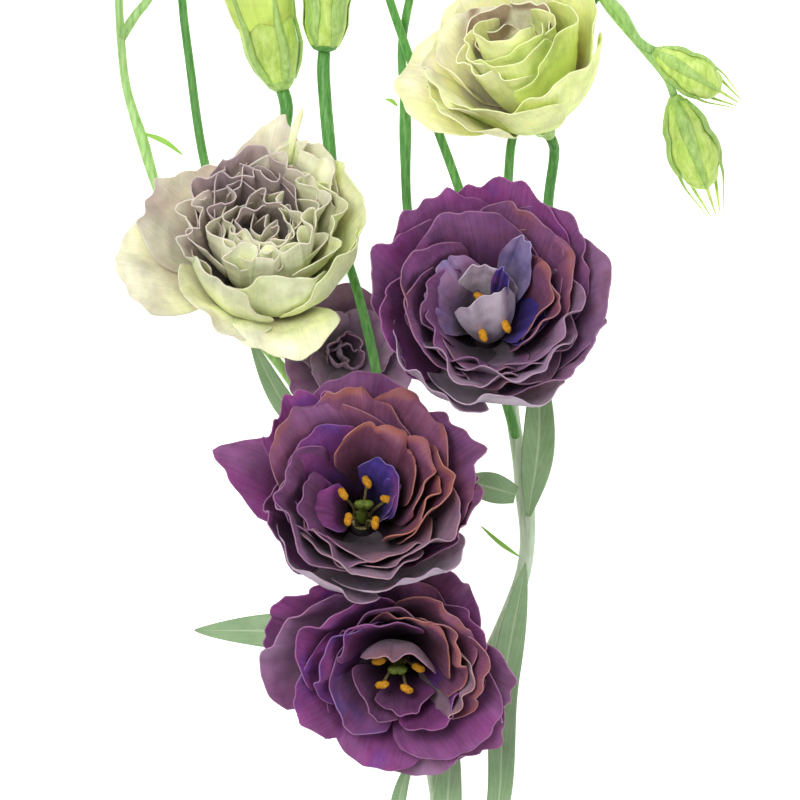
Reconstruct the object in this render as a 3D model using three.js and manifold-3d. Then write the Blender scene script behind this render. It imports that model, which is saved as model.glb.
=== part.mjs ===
// A cut lisianthus stem, laid down: one branching green stem that carries three open double blooms
// in dark purple, one bloom of the same colour low behind them, a pale bloom, a green-ivory bloom,
// closed and half-open buds, and the opposite, clasping leaves of the plant.
// Millimetres. +Z is up from the table, +Y runs along the stem towards the flowers, and the origin is
// on the table under the main stem, where the stem rests on a narrow flat.
import * as THREE from "three";
import { mergeVertices } from "three/addons/utils/BufferGeometryUtils.js";
import Module from "manifold-3d";

const wasm = await Module();
wasm.setup();

// Driving dimensions
const PETAL_THICKNESS = 0.8;
const LEAF_THICKNESS = 0.9;
const MAIN_STEM_RADIUS = 3.4;
const BRANCH_RADIUS = 2.1;
const PEDICEL_RADIUS = 1.5;
const STEM_CUT_Y = -100;
const STEM_REST_SINK = 0.35; // how far the round main stem is pressed flat where it lies on the table
const CALYX_LENGTH = 9;
const CALYX_RADIUS = 4.6;
const FIT_GAP = 0.3; // between a flower's petals, its calyx and the stem
const ROOT_PLATE_RADIUS = 5.4; // the fused base of the petals
const ROOT_PLATE_HALF_HEIGHT = 2;
const TABLE_Z = 0;
const SIMPLIFY_TOLERANCE = 0.05;

const material = (color, roughness) => new THREE.MeshStandardMaterial({ color, roughness, metalness: 0 });
const purplePetal = material(0x6b3a66, 0.6);
const palePetal = material(0xd4d0a8, 0.6);
const greenPetal = material(0xe4edaa, 0.6);
const stemGreen = material(0x5f8f4a, 0.5);
const leafGreen = material(0x8fae80, 0.55);
const calyxGreen = material(0x7fa85a, 0.5);
const budGreen = material(0xa5c455, 0.5);
const antherYellow = material(0xd99a16, 0.7);
const stigmaGreen = material(0x8f9a2e, 0.6);

const group = new THREE.Group();
const degrees = THREE.MathUtils.degToRad;

// A repeatable random draw between -1 and 1
function seededDraw(seed) {
  let state = seed >>> 0;
  return () => {
    state = (Math.imul(state, 1664525) + 1013904223) >>> 0;
    return state / 2147483648 - 1;
  };
}

// Closed meshes and solids
function solidFromArrays(points, triangles) {
  return new wasm.Manifold(
    new wasm.Mesh({
      numProp: 3,
      vertProperties: new Float32Array(points),
      triVerts: new Uint32Array(triangles),
    }),
  );
}

function solidFromGeometry(geometry) {
  const bare = geometry.clone();
  bare.deleteAttribute("normal");
  bare.deleteAttribute("uv");
  const merged = mergeVertices(bare, 1e-4);
  return solidFromArrays(merged.attributes.position.array, merged.index.array);
}

function geometryFromSolid(solid) {
  const mesh = solid.getMesh();
  const geometry = new THREE.BufferGeometry();
  geometry.setAttribute("position", new THREE.BufferAttribute(mesh.vertProperties, 3));
  geometry.setIndex(new THREE.BufferAttribute(mesh.triVerts, 1));
  geometry.computeVertexNormals();
  return geometry;
}

const joined = (solids) => solids.reduce((sum, solid) => sum.add(solid));

// The largest body of a solid: it fills the small hollows that joining seals, and drops loose scraps
const wholeBody = (solid) =>
  solid.decompose().reduce((best, body) => (body.volume() > best.volume() ? body : best));

// What lies on the table is pressed flat there, and the result becomes a named piece
function addPiece(name, solid, pieceMaterial) {
  const resting = wholeBody(solid.trimByPlane([0, 0, 1], TABLE_Z).simplify(SIMPLIFY_TOLERANCE));
  const mesh = new THREE.Mesh(geometryFromSolid(resting), pieceMaterial);
  mesh.name = name;
  group.add(mesh);
}

// A thin blade over a grid of points: surface(across, along) gives the middle of the blade,
// across runs from -1 to 1 and along from 0 to 1. Both faces are split into the same triangles.
function bladeSolid(surface, acrossCells, alongCells, thickness) {
  const step = 1e-3;
  const points = [];
  const columns = acrossCells + 1;
  const count = columns * (alongCells + 1);
  for (const side of [1, -1]) {
    for (let j = 0; j <= alongCells; j++) {
      for (let i = 0; i <= acrossCells; i++) {
        const across = (2 * i) / acrossCells - 1;
        const along = j / alongCells;
        const here = surface(across, along);
        const sideways = surface(across + step, along).sub(surface(across - step, along));
        const lengthways = surface(across, along + step).sub(surface(across, along - step));
        const normal = sideways.cross(lengthways).normalize();
        here.addScaledVector(normal, (side * thickness) / 2);
        points.push(here.x, here.y, here.z);
      }
    }
  }
  const triangles = [];
  for (let j = 0; j < alongCells; j++) {
    for (let i = 0; i < acrossCells; i++) {
      const a = j * columns + i;
      const b = a + 1;
      const c = a + columns;
      const d = c + 1;
      triangles.push(a, b, d, a, d, c);
      triangles.push(a + count, d + count, b + count, a + count, c + count, d + count);
    }
  }
  const rim = [];
  for (let i = 0; i < acrossCells; i++) rim.push(i);
  for (let j = 0; j < alongCells; j++) rim.push(acrossCells + j * columns);
  for (let i = acrossCells; i > 0; i--) rim.push(alongCells * columns + i);
  for (let j = alongCells; j > 0; j--) rim.push(j * columns);
  rim.forEach((a, k) => {
    const b = rim[(k + 1) % rim.length];
    triangles.push(a, a + count, b + count, a, b + count, b);
  });
  return solidFromArrays(points, triangles);
}

// A closed body made of rings of points about a line, with a point at each end
function ringedSolid(rings, start, end) {
  const sides = rings[0].length;
  const points = [];
  rings.flat().forEach((p) => points.push(p.x, p.y, p.z));
  const first = rings.length * sides;
  points.push(start.x, start.y, start.z, end.x, end.y, end.z);
  const triangles = [];
  for (let k = 0; k < sides; k++) {
    const next = (k + 1) % sides;
    triangles.push(first, next, k);
    for (let j = 0; j + 1 < rings.length; j++) {
      const a = j * sides + k;
      const b = j * sides + next;
      triangles.push(a, b, b + sides, a, b + sides, a + sides);
    }
    const last = (rings.length - 1) * sides;
    triangles.push(first + 1, last + k, last + next);
  }
  return solidFromArrays(points, triangles);
}

// A stem along a smooth curve, tapering from one radius to the other, with swollen leaf nodes
function stemSolid({ route, from, to, nodes = [], sides, step }) {
  const curve = new THREE.CatmullRomCurve3(route.map((p) => new THREE.Vector3(...p)));
  const steps = Math.max(3, Math.round(curve.getLength() / step));
  const frames = curve.computeFrenetFrames(steps, false);
  const rings = [];
  for (let j = 0; j <= steps; j++) {
    const t = j / steps;
    const centre = curve.getPointAt(t);
    const swelling = nodes.reduce((sum, at) => sum + 0.35 * Math.exp(-(((t - at) * steps) ** 2)), 0);
    const radius = THREE.MathUtils.lerp(from, to, t) * (1 + swelling);
    const ring = [];
    for (let k = 0; k < sides; k++) {
      const angle = (2 * Math.PI * k) / sides;
      ring.push(
        centre
          .clone()
          .addScaledVector(frames.normals[j], radius * Math.cos(angle))
          .addScaledVector(frames.binormals[j], radius * Math.sin(angle)),
      );
    }
    rings.push(ring);
  }
  const ends = [curve.getPointAt(0), curve.getPointAt(1)];
  const solid = ringedSolid(rings, ends[0], ends[1]);
  return solid.volume() > 0 ? solid : ringedSolid(rings.map((r) => r.reverse()), ends[0], ends[1]);
}

// The frame of a flower: local z is the way it faces, and local y is the way up the stem
function flowerFrame(root, face) {
  const z = new THREE.Vector3(...face).normalize();
  const up = Math.abs(z.y) > 0.9 ? new THREE.Vector3(0, 0, -Math.sign(z.y)) : new THREE.Vector3(0, 1, 0);
  const x = new THREE.Vector3().crossVectors(up, z).normalize();
  const y = new THREE.Vector3().crossVectors(z, x);
  return new THREE.Matrix4().makeBasis(x, y, z).setPosition(...root);
}

// A petal's middle surface in its flower's frame. The midline leaves the root at lean[0] degrees
// above the flower's base plane, passes lean[1] half way, and ends at lean[2]. The blade wraps round
// the flower's axis, one side a little further out than the other, so that neighbours overlap like a
// spiral; its shoulders are rounded, and its rim is thrown into folds.
const PETAL_PROFILE_STEPS = 10;
function petalSurface(petal) {
  const { azimuth, length, width, lean, ruffle = 1.5, waves = 2.5, phase = 0 } = petal;
  const { wrap = 1.1, shoulder = 0.22, point = 0, skew = 0.11, root = 3.6, lift = 0 } = petal;
  const turn = degrees(azimuth);
  const leanAt = (t) =>
    degrees(lean[0] * (1 - t) * (1 - 2 * t) + lean[1] * 4 * t * (1 - t) + lean[2] * t * (2 * t - 1));
  return (across, along) => {
    const beside = Math.abs(across);
    const t = along * (1 - shoulder * beside ** 2.6 + point * Math.max(0, 1 - beside) ** 1.5);
    let radius = root;
    let height = lift;
    for (let k = 0; k < PETAL_PROFILE_STEPS; k++) {
      const angle = leanAt((t * (k + 0.5)) / PETAL_PROFILE_STEPS);
      radius += (Math.cos(angle) * length * t) / PETAL_PROFILE_STEPS;
      height += (Math.sin(angle) * length * t) / PETAL_PROFILE_STEPS;
    }
    const fan = Math.sin((Math.PI / 2) * Math.min(1, Math.max(0, t) / 0.75)) ** 1.5;
    const halfWidth = (width / 2) * (0.09 + 0.91 * fan);
    const bend = Math.max(radius, 4) * wrap;
    const edge = Math.max(0, t) ** 3 * (0.5 + 0.5 * beside * beside);
    const fold = Math.PI * waves * across + phase;
    const swing = ruffle * edge * (Math.sin(fold) + 0.35 * Math.sin(2.3 * fold + 1));
    const sway = -0.35 * ruffle * edge * Math.sin(2 * fold);
    const beta = (across * halfWidth + sway) / bend;
    const slope = leanAt(Math.min(1, t));
    const spiral = 1 + skew * across * Math.min(1, Math.max(0, t) / 0.35);
    const outward = radius * spiral - bend * (1 - Math.cos(beta)) - swing * Math.sin(slope);
    const aside = bend * Math.sin(beta);
    return new THREE.Vector3(
      outward * Math.cos(turn) - aside * Math.sin(turn),
      outward * Math.sin(turn) + aside * Math.cos(turn),
      height + swing * Math.cos(slope),
    );
  };
}

// A ring of like petals round the flower, each a little different by a seeded draw
function petalRing({ count, start, seed, ...like }) {
  const draw = seededDraw(seed);
  return Array.from({ length: count }, (_, k) => ({
    ...like,
    azimuth: start + (360 * k) / count + 8 * draw(),
    length: like.length * (1 + 0.06 * draw()),
    width: like.width * (1 + 0.08 * draw()),
    lean: like.lean.map((angle) => angle + 4 * draw()),
    phase: 3 * draw(),
  }));
}

function lathedSolid(profile, sides) {
  const outline = profile.map(([radius, height]) => new THREE.Vector2(radius, height));
  return solidFromGeometry(new THREE.LatheGeometry(outline, sides).rotateX(Math.PI / 2));
}

// The petals of a flower, fused at the small plate that they grow from
function petalsSolid(petals) {
  const plate = lathedSolid(
    [
      [0, -ROOT_PLATE_HALF_HEIGHT],
      [ROOT_PLATE_RADIUS * 0.7, -ROOT_PLATE_HALF_HEIGHT],
      [ROOT_PLATE_RADIUS, 0],
      [ROOT_PLATE_RADIUS * 0.85, ROOT_PLATE_HALF_HEIGHT],
      [0, ROOT_PLATE_HALF_HEIGHT],
    ],
    10,
  );
  const blades = petals.map((petal) => bladeSolid(petalSurface(petal), ...petal.cells, PETAL_THICKNESS));
  return joined([plate, ...blades]);
}

// A sepal: a slender spike, flat inside and keeled outside, that leans out from the calyx
function sepalSolid(azimuth, length, lean, halfWidth, rootRadius, rootHeight) {
  const turn = degrees(azimuth);
  const cells = 3;
  const rings = [];
  let radius = rootRadius;
  let height = rootHeight;
  const place = (outward, aside, up) =>
    new THREE.Vector3(
      outward * Math.cos(turn) - aside * Math.sin(turn),
      outward * Math.sin(turn) + aside * Math.cos(turn),
      up,
    );
  const start = place(radius, 0, height);
  for (let j = 0; j < cells; j++) {
    const t = j / cells;
    const angle = degrees(THREE.MathUtils.lerp(lean[0], lean[1], t));
    const wide = halfWidth * (1 - t) ** 0.7;
    const thick = 1 - 0.4 * t;
    const back = [Math.sin(angle) * thick, -Math.cos(angle) * thick];
    rings.push([
      place(radius, wide, height),
      place(radius + back[0], 0, height + back[1]),
      place(radius, -wide, height),
    ]);
    radius += (Math.cos(angle) * length) / cells;
    height += (Math.sin(angle) * length) / cells;
  }
  const end = place(radius, 0, height);
  const solid = ringedSolid(rings, start, end);
  return solid.volume() > 0 ? solid : ringedSolid(rings.map((r) => r.reverse()), start, end);
}

// The green cup under a flower, with its five narrow sepals
function calyxSolid({ sepalLength, lean, spin = 0, scale = 1, halfWidth = 1.9 }) {
  const top = -ROOT_PLATE_HALF_HEIGHT;
  const cup = lathedSolid(
    [
      [0, top - CALYX_LENGTH],
      [PEDICEL_RADIUS * 1.1, top - CALYX_LENGTH],
      [CALYX_RADIUS * 0.75, top - CALYX_LENGTH * 0.45],
      [CALYX_RADIUS, top],
      [0, top],
    ],
    7,
  );
  const sepals = [0, 1, 2, 3, 4].map((k) =>
    sepalSolid(spin + 72 * k, sepalLength / scale, lean, halfWidth, CALYX_RADIUS - 1, top - 1.2),
  );
  return joined([cup, ...sepals]).scale(scale).translate(0, 0, -FIT_GAP);
}

// Five bent filaments with anthers on a small ring round the pistil
const STAMEN_RING = { inner: 2.1, outer: 3, height: 1 };
function stamensSolid({ spin, reach }) {
  const base = ROOT_PLATE_HALF_HEIGHT + FIT_GAP;
  const ring = lathedSolid(
    [
      [STAMEN_RING.inner, base],
      [STAMEN_RING.outer, base],
      [STAMEN_RING.outer, base + STAMEN_RING.height],
      [STAMEN_RING.inner, base + STAMEN_RING.height],
      [STAMEN_RING.inner, base],
    ],
    6,
  );
  const stamens = [0, 1, 2, 3, 4].map((k) => {
    const turn = degrees(spin + 72 * k);
    const at = (radius, height) => [radius * Math.cos(turn), radius * Math.sin(turn), height];
    const middle = (STAMEN_RING.inner + STAMEN_RING.outer) / 2;
    const filament = stemSolid({
      route: [at(middle, base + 0.4), at(middle + 0.3, base + 7), at(reach, base + 14)],
      from: 0.5,
      to: 0.45,
      sides: 3,
      step: 8,
    });
    const anther = new THREE.SphereGeometry(1, 4, 3)
      .scale(2.1, 1.1, 1.1)
      .rotateZ(turn + degrees(35 * (k % 2 ? 1 : -1)))
      .translate(...at(reach, base + 14.6));
    return filament.add(solidFromGeometry(anther));
  });
  return joined([ring, ...stamens]);
}

// The green ovary, its style and the two-lobed stigma
function pistilSolid() {
  const base = ROOT_PLATE_HALF_HEIGHT + FIT_GAP;
  const body = lathedSolid(
    [
      [0, base],
      [1.3, base],
      [1.9, base + 3],
      [1.2, base + 7],
      [0.6, base + 9],
      [0.6, base + 13],
      [0, base + 13],
    ],
    8,
  );
  const lobes = [-1, 1].map((side) =>
    solidFromGeometry(
      new THREE.SphereGeometry(1, 6, 3).scale(1.6, 1.2, 2).translate(1.1 * side, 0, base + 13.4),
    ),
  );
  return joined([body, ...lobes]);
}

// A closed bud: petals wound in a spiral inside five sepals
function budBodySolid({ length, radius, scale, twist = 1.4, ridges = 4, tip = 0.12, open = 0 }) {
  const levels = 6;
  const sides = 8;
  const base = -ROOT_PLATE_HALF_HEIGHT * scale;
  const rings = [];
  for (let j = 0; j < levels; j++) {
    const t = (j + 0.35) / (levels - 0.3);
    const belly = Math.sin(Math.PI * t ** 0.85) ** 0.75;
    const swell = THREE.MathUtils.lerp(Math.max(tip, belly), 0.35 + 0.75 * t, open);
    const ring = [];
    for (let k = 0; k < sides; k++) {
      const angle = (2 * Math.PI * k) / sides;
      const ridge = 1 + 0.07 * Math.cos(ridges * (angle - twist * t));
      const r = radius * swell * ridge;
      ring.push(new THREE.Vector3(r * Math.cos(angle), r * Math.sin(angle), base + length * t));
    }
    rings.push(ring);
  }
  return ringedSolid(rings, new THREE.Vector3(0, 0, base), new THREE.Vector3(0, 0, base + length));
}

// Leaves: a curved midline, a pointed oval outline, and a shallow fold along the midrib
function leafSurface({ route, width, up, fold = 0.18, widest = 0.45, base = 0.35, twist = 0 }) {
  const curve = new THREE.CatmullRomCurve3(route.map((p) => new THREE.Vector3(...p)));
  const upward = new THREE.Vector3(...up).normalize();
  return (across, along) => {
    const t = THREE.MathUtils.clamp(along, 0, 1);
    const centre = curve.getPoint(t).addScaledVector(curve.getTangent(t), along - t);
    const forward = curve.getTangent(t);
    const sideways = new THREE.Vector3().crossVectors(forward, upward).normalize();
    sideways.applyAxisAngle(forward, degrees(twist) * t);
    const normal = new THREE.Vector3().crossVectors(sideways, forward);
    const rise = t < widest ? Math.sin((Math.PI / 2) * (t / widest)) : 0;
    const fall = t >= widest ? Math.cos(((Math.PI / 2) * (t - widest)) / (1 - widest)) ** 0.8 : 0;
    const outline = t < widest ? base + (1 - base) * rise : 0.04 + 0.96 * fall;
    const aside = across * (width / 2) * outline;
    return centre.addScaledVector(sideways, aside).addScaledVector(normal, fold * Math.abs(aside));
  };
}

// A petal: the way it points (0 is to the right, 90 up the stem), its length and width, and its lean
// above the flower's base plane at its root, half way along and at its tip
const petal = (azimuth, length, width, lean, more = {}) => ({ azimuth, length, width, lean, ...more });
const layer = (like, petals) => petals.map((one, k) => ({ phase: 1.7 * k, ...like, ...one }));
const OUTER = { cells: [4, 3], root: 3.6, lift: -0.7, wrap: 1.12, ruffle: 1.2, waves: 1.6 };
const INNER = { cells: [3, 3], root: 3.4, lift: 0.4, wrap: 0.98, ruffle: 1.5, waves: 1.6 };
const MIDDLE = {
  cells: [3, 3],
  root: 3.4,
  lift: 0.9,
  wrap: 0.95,
  ruffle: 1.2,
  waves: 1.5,
  width: 30,
  lean: [44, 74, 78],
};

// The open blooms: where the petals meet, the way each faces, and its petals from the outside in
const BLOOMS = [
  {
    name: "centre",
    root: [-22.5, 81, 36],
    face: [0.05, 0.36, 0.93],
    petalMaterial: purplePetal,
    stamens: { spin: 10, reach: 6.5 },
    pistil: true,
    sepals: { sepalLength: 17, lean: [5, 45], spin: 20 },
    petals: [
      ...layer(OUTER, [
        petal(84, 44, 44, [8, 56, 44]),
        petal(162, 40, 34, [10, 46, 18], { ruffle: 0.6, waves: 1, point: 0.24 }),
        petal(234, 43, 42, [8, 56, 50]),
        petal(300, 45, 44, [8, 56, 52]),
        petal(15, 44, 42, [8, 57, 48]),
      ]),
      ...layer(INNER, [
        petal(130, 42, 36, [24, 62, 48]),
        petal(218, 41, 36, [26, 66, 62]),
        petal(325, 41, 36, [26, 66, 60]),
        petal(55, 42, 34, [26, 64, 54]),
      ]),
      ...petalRing({ ...MIDDLE, count: 3, start: 50, seed: 3, length: 35 }),
    ],
  },
  {
    name: "right",
    root: [13, 134, 39],
    face: [0, 0.33, 0.94],
    petalMaterial: purplePetal,
    stamens: { spin: 40, reach: 6 },
    pistil: true,
    sepals: { sepalLength: 16, lean: [5, 45], spin: 54 },
    petals: [
      ...layer(OUTER, [
        petal(78, 45, 42, [8, 56, 44]),
        petal(150, 44, 42, [8, 56, 46]),
        petal(222, 45, 42, [8, 56, 46]),
        petal(290, 46, 46, [8, 54, 42]),
        petal(6, 44, 44, [8, 56, 42], { ruffle: 0.8 }),
      ]),
      ...layer(INNER, [
        petal(115, 41, 38, [26, 64, 54]),
        petal(205, 41, 36, [26, 66, 60]),
        petal(300, 42, 38, [24, 64, 56]),
        petal(30, 41, 36, [26, 64, 54]),
      ]),
      ...petalRing({ ...MIDDLE, count: 3, start: 20, seed: 8, length: 34 }),
    ],
  },
  {
    name: "lower",
    root: [-12, 44, 24],
    face: [-0.02, -0.26, 0.96],
    petalMaterial: purplePetal,
    stamens: { spin: 80, reach: 6 },
    pistil: true,
    sepals: { sepalLength: 13, lean: [5, 40], spin: 38 },
    petals: [
      ...layer(OUTER, [
        petal(281, 33, 46, [6, 36, 20], { ruffle: 0.8 }),
        petal(346, 39, 40, [8, 44, 34]),
        petal(182, 42, 40, [8, 44, 36]),
        petal(232, 37, 34, [6, 38, 28]),
      ]),
      ...layer(INNER, [
        petal(260, 34, 36, [24, 52, 44]),
        petal(318, 37, 38, [24, 54, 46]),
        petal(146, 38, 38, [18, 54, 50]),
        petal(96, 32, 38, [26, 62, 64]),
        petal(42, 35, 36, [24, 58, 56]),
      ]),
      ...petalRing({ ...MIDDLE, count: 3, start: 180, seed: 5, length: 30 }),
    ],
  },
  {
    name: "pale",
    root: [-51, 152, 30],
    face: [0.04, 0.42, 0.9],
    petalMaterial: palePetal,
    sepals: { sepalLength: 14, lean: [5, 50], spin: 54 },
    petals: [
      ...layer(OUTER, [
        petal(178, 44, 36, [8, 42, 26], { ruffle: 1.6 }),
        petal(84, 46, 32, [10, 52, 40]),
        petal(18, 43, 40, [10, 60, 58]),
        petal(238, 38, 34, [8, 50, 34]),
        petal(290, 41, 38, [8, 50, 26]),
      ]),
      ...layer(INNER, [
        petal(205, 38, 34, [24, 62, 58]),
        petal(320, 38, 36, [24, 64, 66]),
        petal(50, 42, 30, [24, 62, 58]),
        petal(134, 42, 34, [18, 56, 44]),
      ]),
      ...petalRing({ ...MIDDLE, count: 3, start: 10, seed: 12, length: 33, width: 34, lean: [48, 78, 92] }),
    ],
  },
  {
    name: "upper",
    root: [28, 199, 20],
    face: [-0.3, 0.62, 0.72],
    petalMaterial: greenPetal,
    stamens: { spin: 0, reach: 5 },
    sepals: { sepalLength: 16, lean: [20, 50], spin: 0 },
    petals: [
      ...layer(OUTER, [
        petal(190, 40, 44, [8, 50, 28]),
        petal(268, 39, 42, [8, 62, 60]),
        petal(330, 40, 44, [8, 62, 62]),
        petal(50, 40, 44, [8, 60, 56]),
        petal(122, 39, 42, [8, 58, 52]),
      ]),
      ...layer(INNER, [
        petal(235, 37, 40, [26, 66, 62]),
        petal(115, 38, 40, [26, 66, 64]),
        petal(0, 36, 40, [26, 70, 76]),
      ]),
      ...petalRing({ ...MIDDLE, count: 3, start: 160, seed: 4, length: 32, width: 32 }),
    ],
  },
  {
    name: "hidden",
    root: [-28, 128, 15.5],
    face: [0.12, 0.2, 0.97],
    petalMaterial: purplePetal,
    sepals: { sepalLength: 9, lean: [0, 10], spin: 90 },
    petals: [
      ...layer({ ...OUTER, cells: [4, 3] }, [
        petal(20, 20, 26, [0, 22, 12]),
        petal(140, 19, 26, [0, 22, 14]),
        petal(260, 20, 26, [0, 22, 12]),
      ]),
      ...layer({ ...INNER, cells: [3, 3], lift: 1.2 }, [
        petal(80, 18, 24, [20, 34, 24]),
        petal(200, 17, 22, [20, 34, 24]),
        petal(320, 18, 24, [20, 34, 24]),
      ]),
    ],
  },
];

// Buds: where the calyx meets the stalk, the way the bud points, and its size
const SEPAL_LEAN = [60, 100];
const BUDS = [
  {
    name: "half_open",
    stalk: [-45.5, 205.3, 9.7],
    face: [-0.24, 0.96, 0.16],
    length: 38,
    radius: 10.5,
    open: 0.9,
    sepals: { sepalLength: 27, lean: [52, 92], spin: 36 },
    petalMaterial: greenPetal,
  },
  { name: "upright", stalk: [-33.4, 216, 13], face: [0.05, 0.99, 0.12], length: 29, radius: 7 },
  { name: "nodding_upper", stalk: [61.5, 216.5, 12], face: [0.87, -0.48, 0.14], length: 20, radius: 6.6 },
  { name: "nodding_lower", stalk: [67.3, 203.6, 9.9], face: [0.33, -0.94, 0], length: 23, radius: 8 },
  { name: "top_left", stalk: [-94, 250, 5.9], face: [-0.1, 0.99, 0.05], length: 16, radius: 4.6 },
  { name: "top_side", stalk: [-84, 238, 7], face: [-0.08, 1, 0.05], length: 13, radius: 3.8 },
  { name: "top_mid_left", stalk: [-74, 252, 6.2], face: [0.12, 0.99, 0], length: 15, radius: 4.4 },
  { name: "top_centre", stalk: [-16.5, 244, 14], face: [0.02, 1, 0.1], length: 15, radius: 4.2 },
  { name: "top_centre_right", stalk: [-6, 246, 6], face: [0.16, 0.98, 0], length: 14, radius: 4 },
].map((bud) => ({ sepals: { sepalLength: bud.length * 1.15, lean: SEPAL_LEAN, spin: 36 }, ...bud }));

// Leaves and bracts: midline, width, and the way the upper face looks
const LEAVES = [
  {
    name: "leaf_low_left",
    route: [[-13.7, 41, 6], [-40, 48.5, 9], [-71, 49.5, 6]],
    width: 11.5,
    up: [0, 0.25, 1],
  },
  {
    name: "leaf_low_right",
    route: [[3, -34, 5], [16, -4, 9], [18.3, 34, 11], [24.5, 69, 12]],
    width: 8.5,
    up: [-0.3, 0, 1],
    widest: 0.72,
    base: 0.25,
    twist: 30,
  },
  {
    name: "leaf_right_tall",
    route: [[25.4, 82.5, 9.3], [28.5, 104, 8.5], [28.5, 130, 6]],
    width: 9.5,
    up: [-0.2, 0, 1],
    base: 0.16,
  },
  {
    name: "leaf_right_side",
    route: [[21.6, 88.7, 8.4], [14, 91, 11], [6, 93, 9]],
    width: 8.5,
    up: [0, 0.1, 1],
    base: 0.6,
  },
  {
    name: "leaf_upper_left",
    route: [[-33.6, 103, 8.4], [-45, 115, 12], [-55, 134, 12]],
    width: 6.5,
    up: [0, 0, 1],
  },
  {
    name: "leaf_base_front",
    route: [[-1, -34, 7], [1.5, -6, 10], [4, 24, 10]],
    width: 9,
    up: [0, 0, 1],
    base: 0.6,
  },
  {
    name: "leaf_base_left",
    route: [[-3.5, -30, 6], [-12, -4, 7], [-8, 14, 6]],
    width: 6,
    up: [-0.7, 0, 0.7],
  },
  {
    name: "bract_left",
    route: [[-83.8, 192.5, 8], [-79, 191, 9], [-74, 186.5, 8]],
    width: 2.2,
    up: [0, 0, 1],
  },
  {
    name: "bract_right",
    route: [[22.6, 71, 8.6], [17, 76, 10], [11.6, 79.8, 9.5]],
    width: 1.8,
    up: [0, 0, 1],
  },
  {
    name: "bract_centre",
    route: [[-12.4, 201, 5.4], [-14, 202.4, 6], [-16, 203, 6]],
    width: 2,
    up: [0, 0, 1],
  },
];

// Where a stalk meets its calyx: it comes in along the flower's own axis
const STALK_LEAD = 5;
function stalkEnd(at, face) {
  const end = new THREE.Vector3(...at);
  const axis = new THREE.Vector3(...face).normalize();
  const touch = end.clone().addScaledVector(axis, -FIT_GAP);
  return [touch.clone().addScaledVector(axis, -STALK_LEAD).toArray(), touch.toArray()];
}
function bloomStalkEnd(name) {
  const { root, face } = BLOOMS.find((bloom) => bloom.name === name);
  const reach = ROOT_PLATE_HALF_HEIGHT + CALYX_LENGTH + FIT_GAP;
  const base = new THREE.Vector3(...face).normalize().multiplyScalar(-reach);
  return stalkEnd(base.add(new THREE.Vector3(...root)).toArray(), face);
}
function budStalkEnd(name) {
  const bud = BUDS.find((one) => one.name === name);
  return stalkEnd(bud.stalk, bud.face);
}

// The stem: the main stem, its branches and the flower stalks, grown as one piece
const fork = {
  lowest: [-2.3, 17.4, 2.9],
  left: [-28, 96, 6],
  upperLeft: [-37.5, 121, 6.5],
  right: [19.7, 127.6, 6],
  nodding: [46, 233.5, 8],
};
const STEM_TAPER = 0.85;
const mainStem = { from: MAIN_STEM_RADIUS, to: MAIN_STEM_RADIUS * STEM_TAPER, sides: 8, step: 18 };
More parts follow.
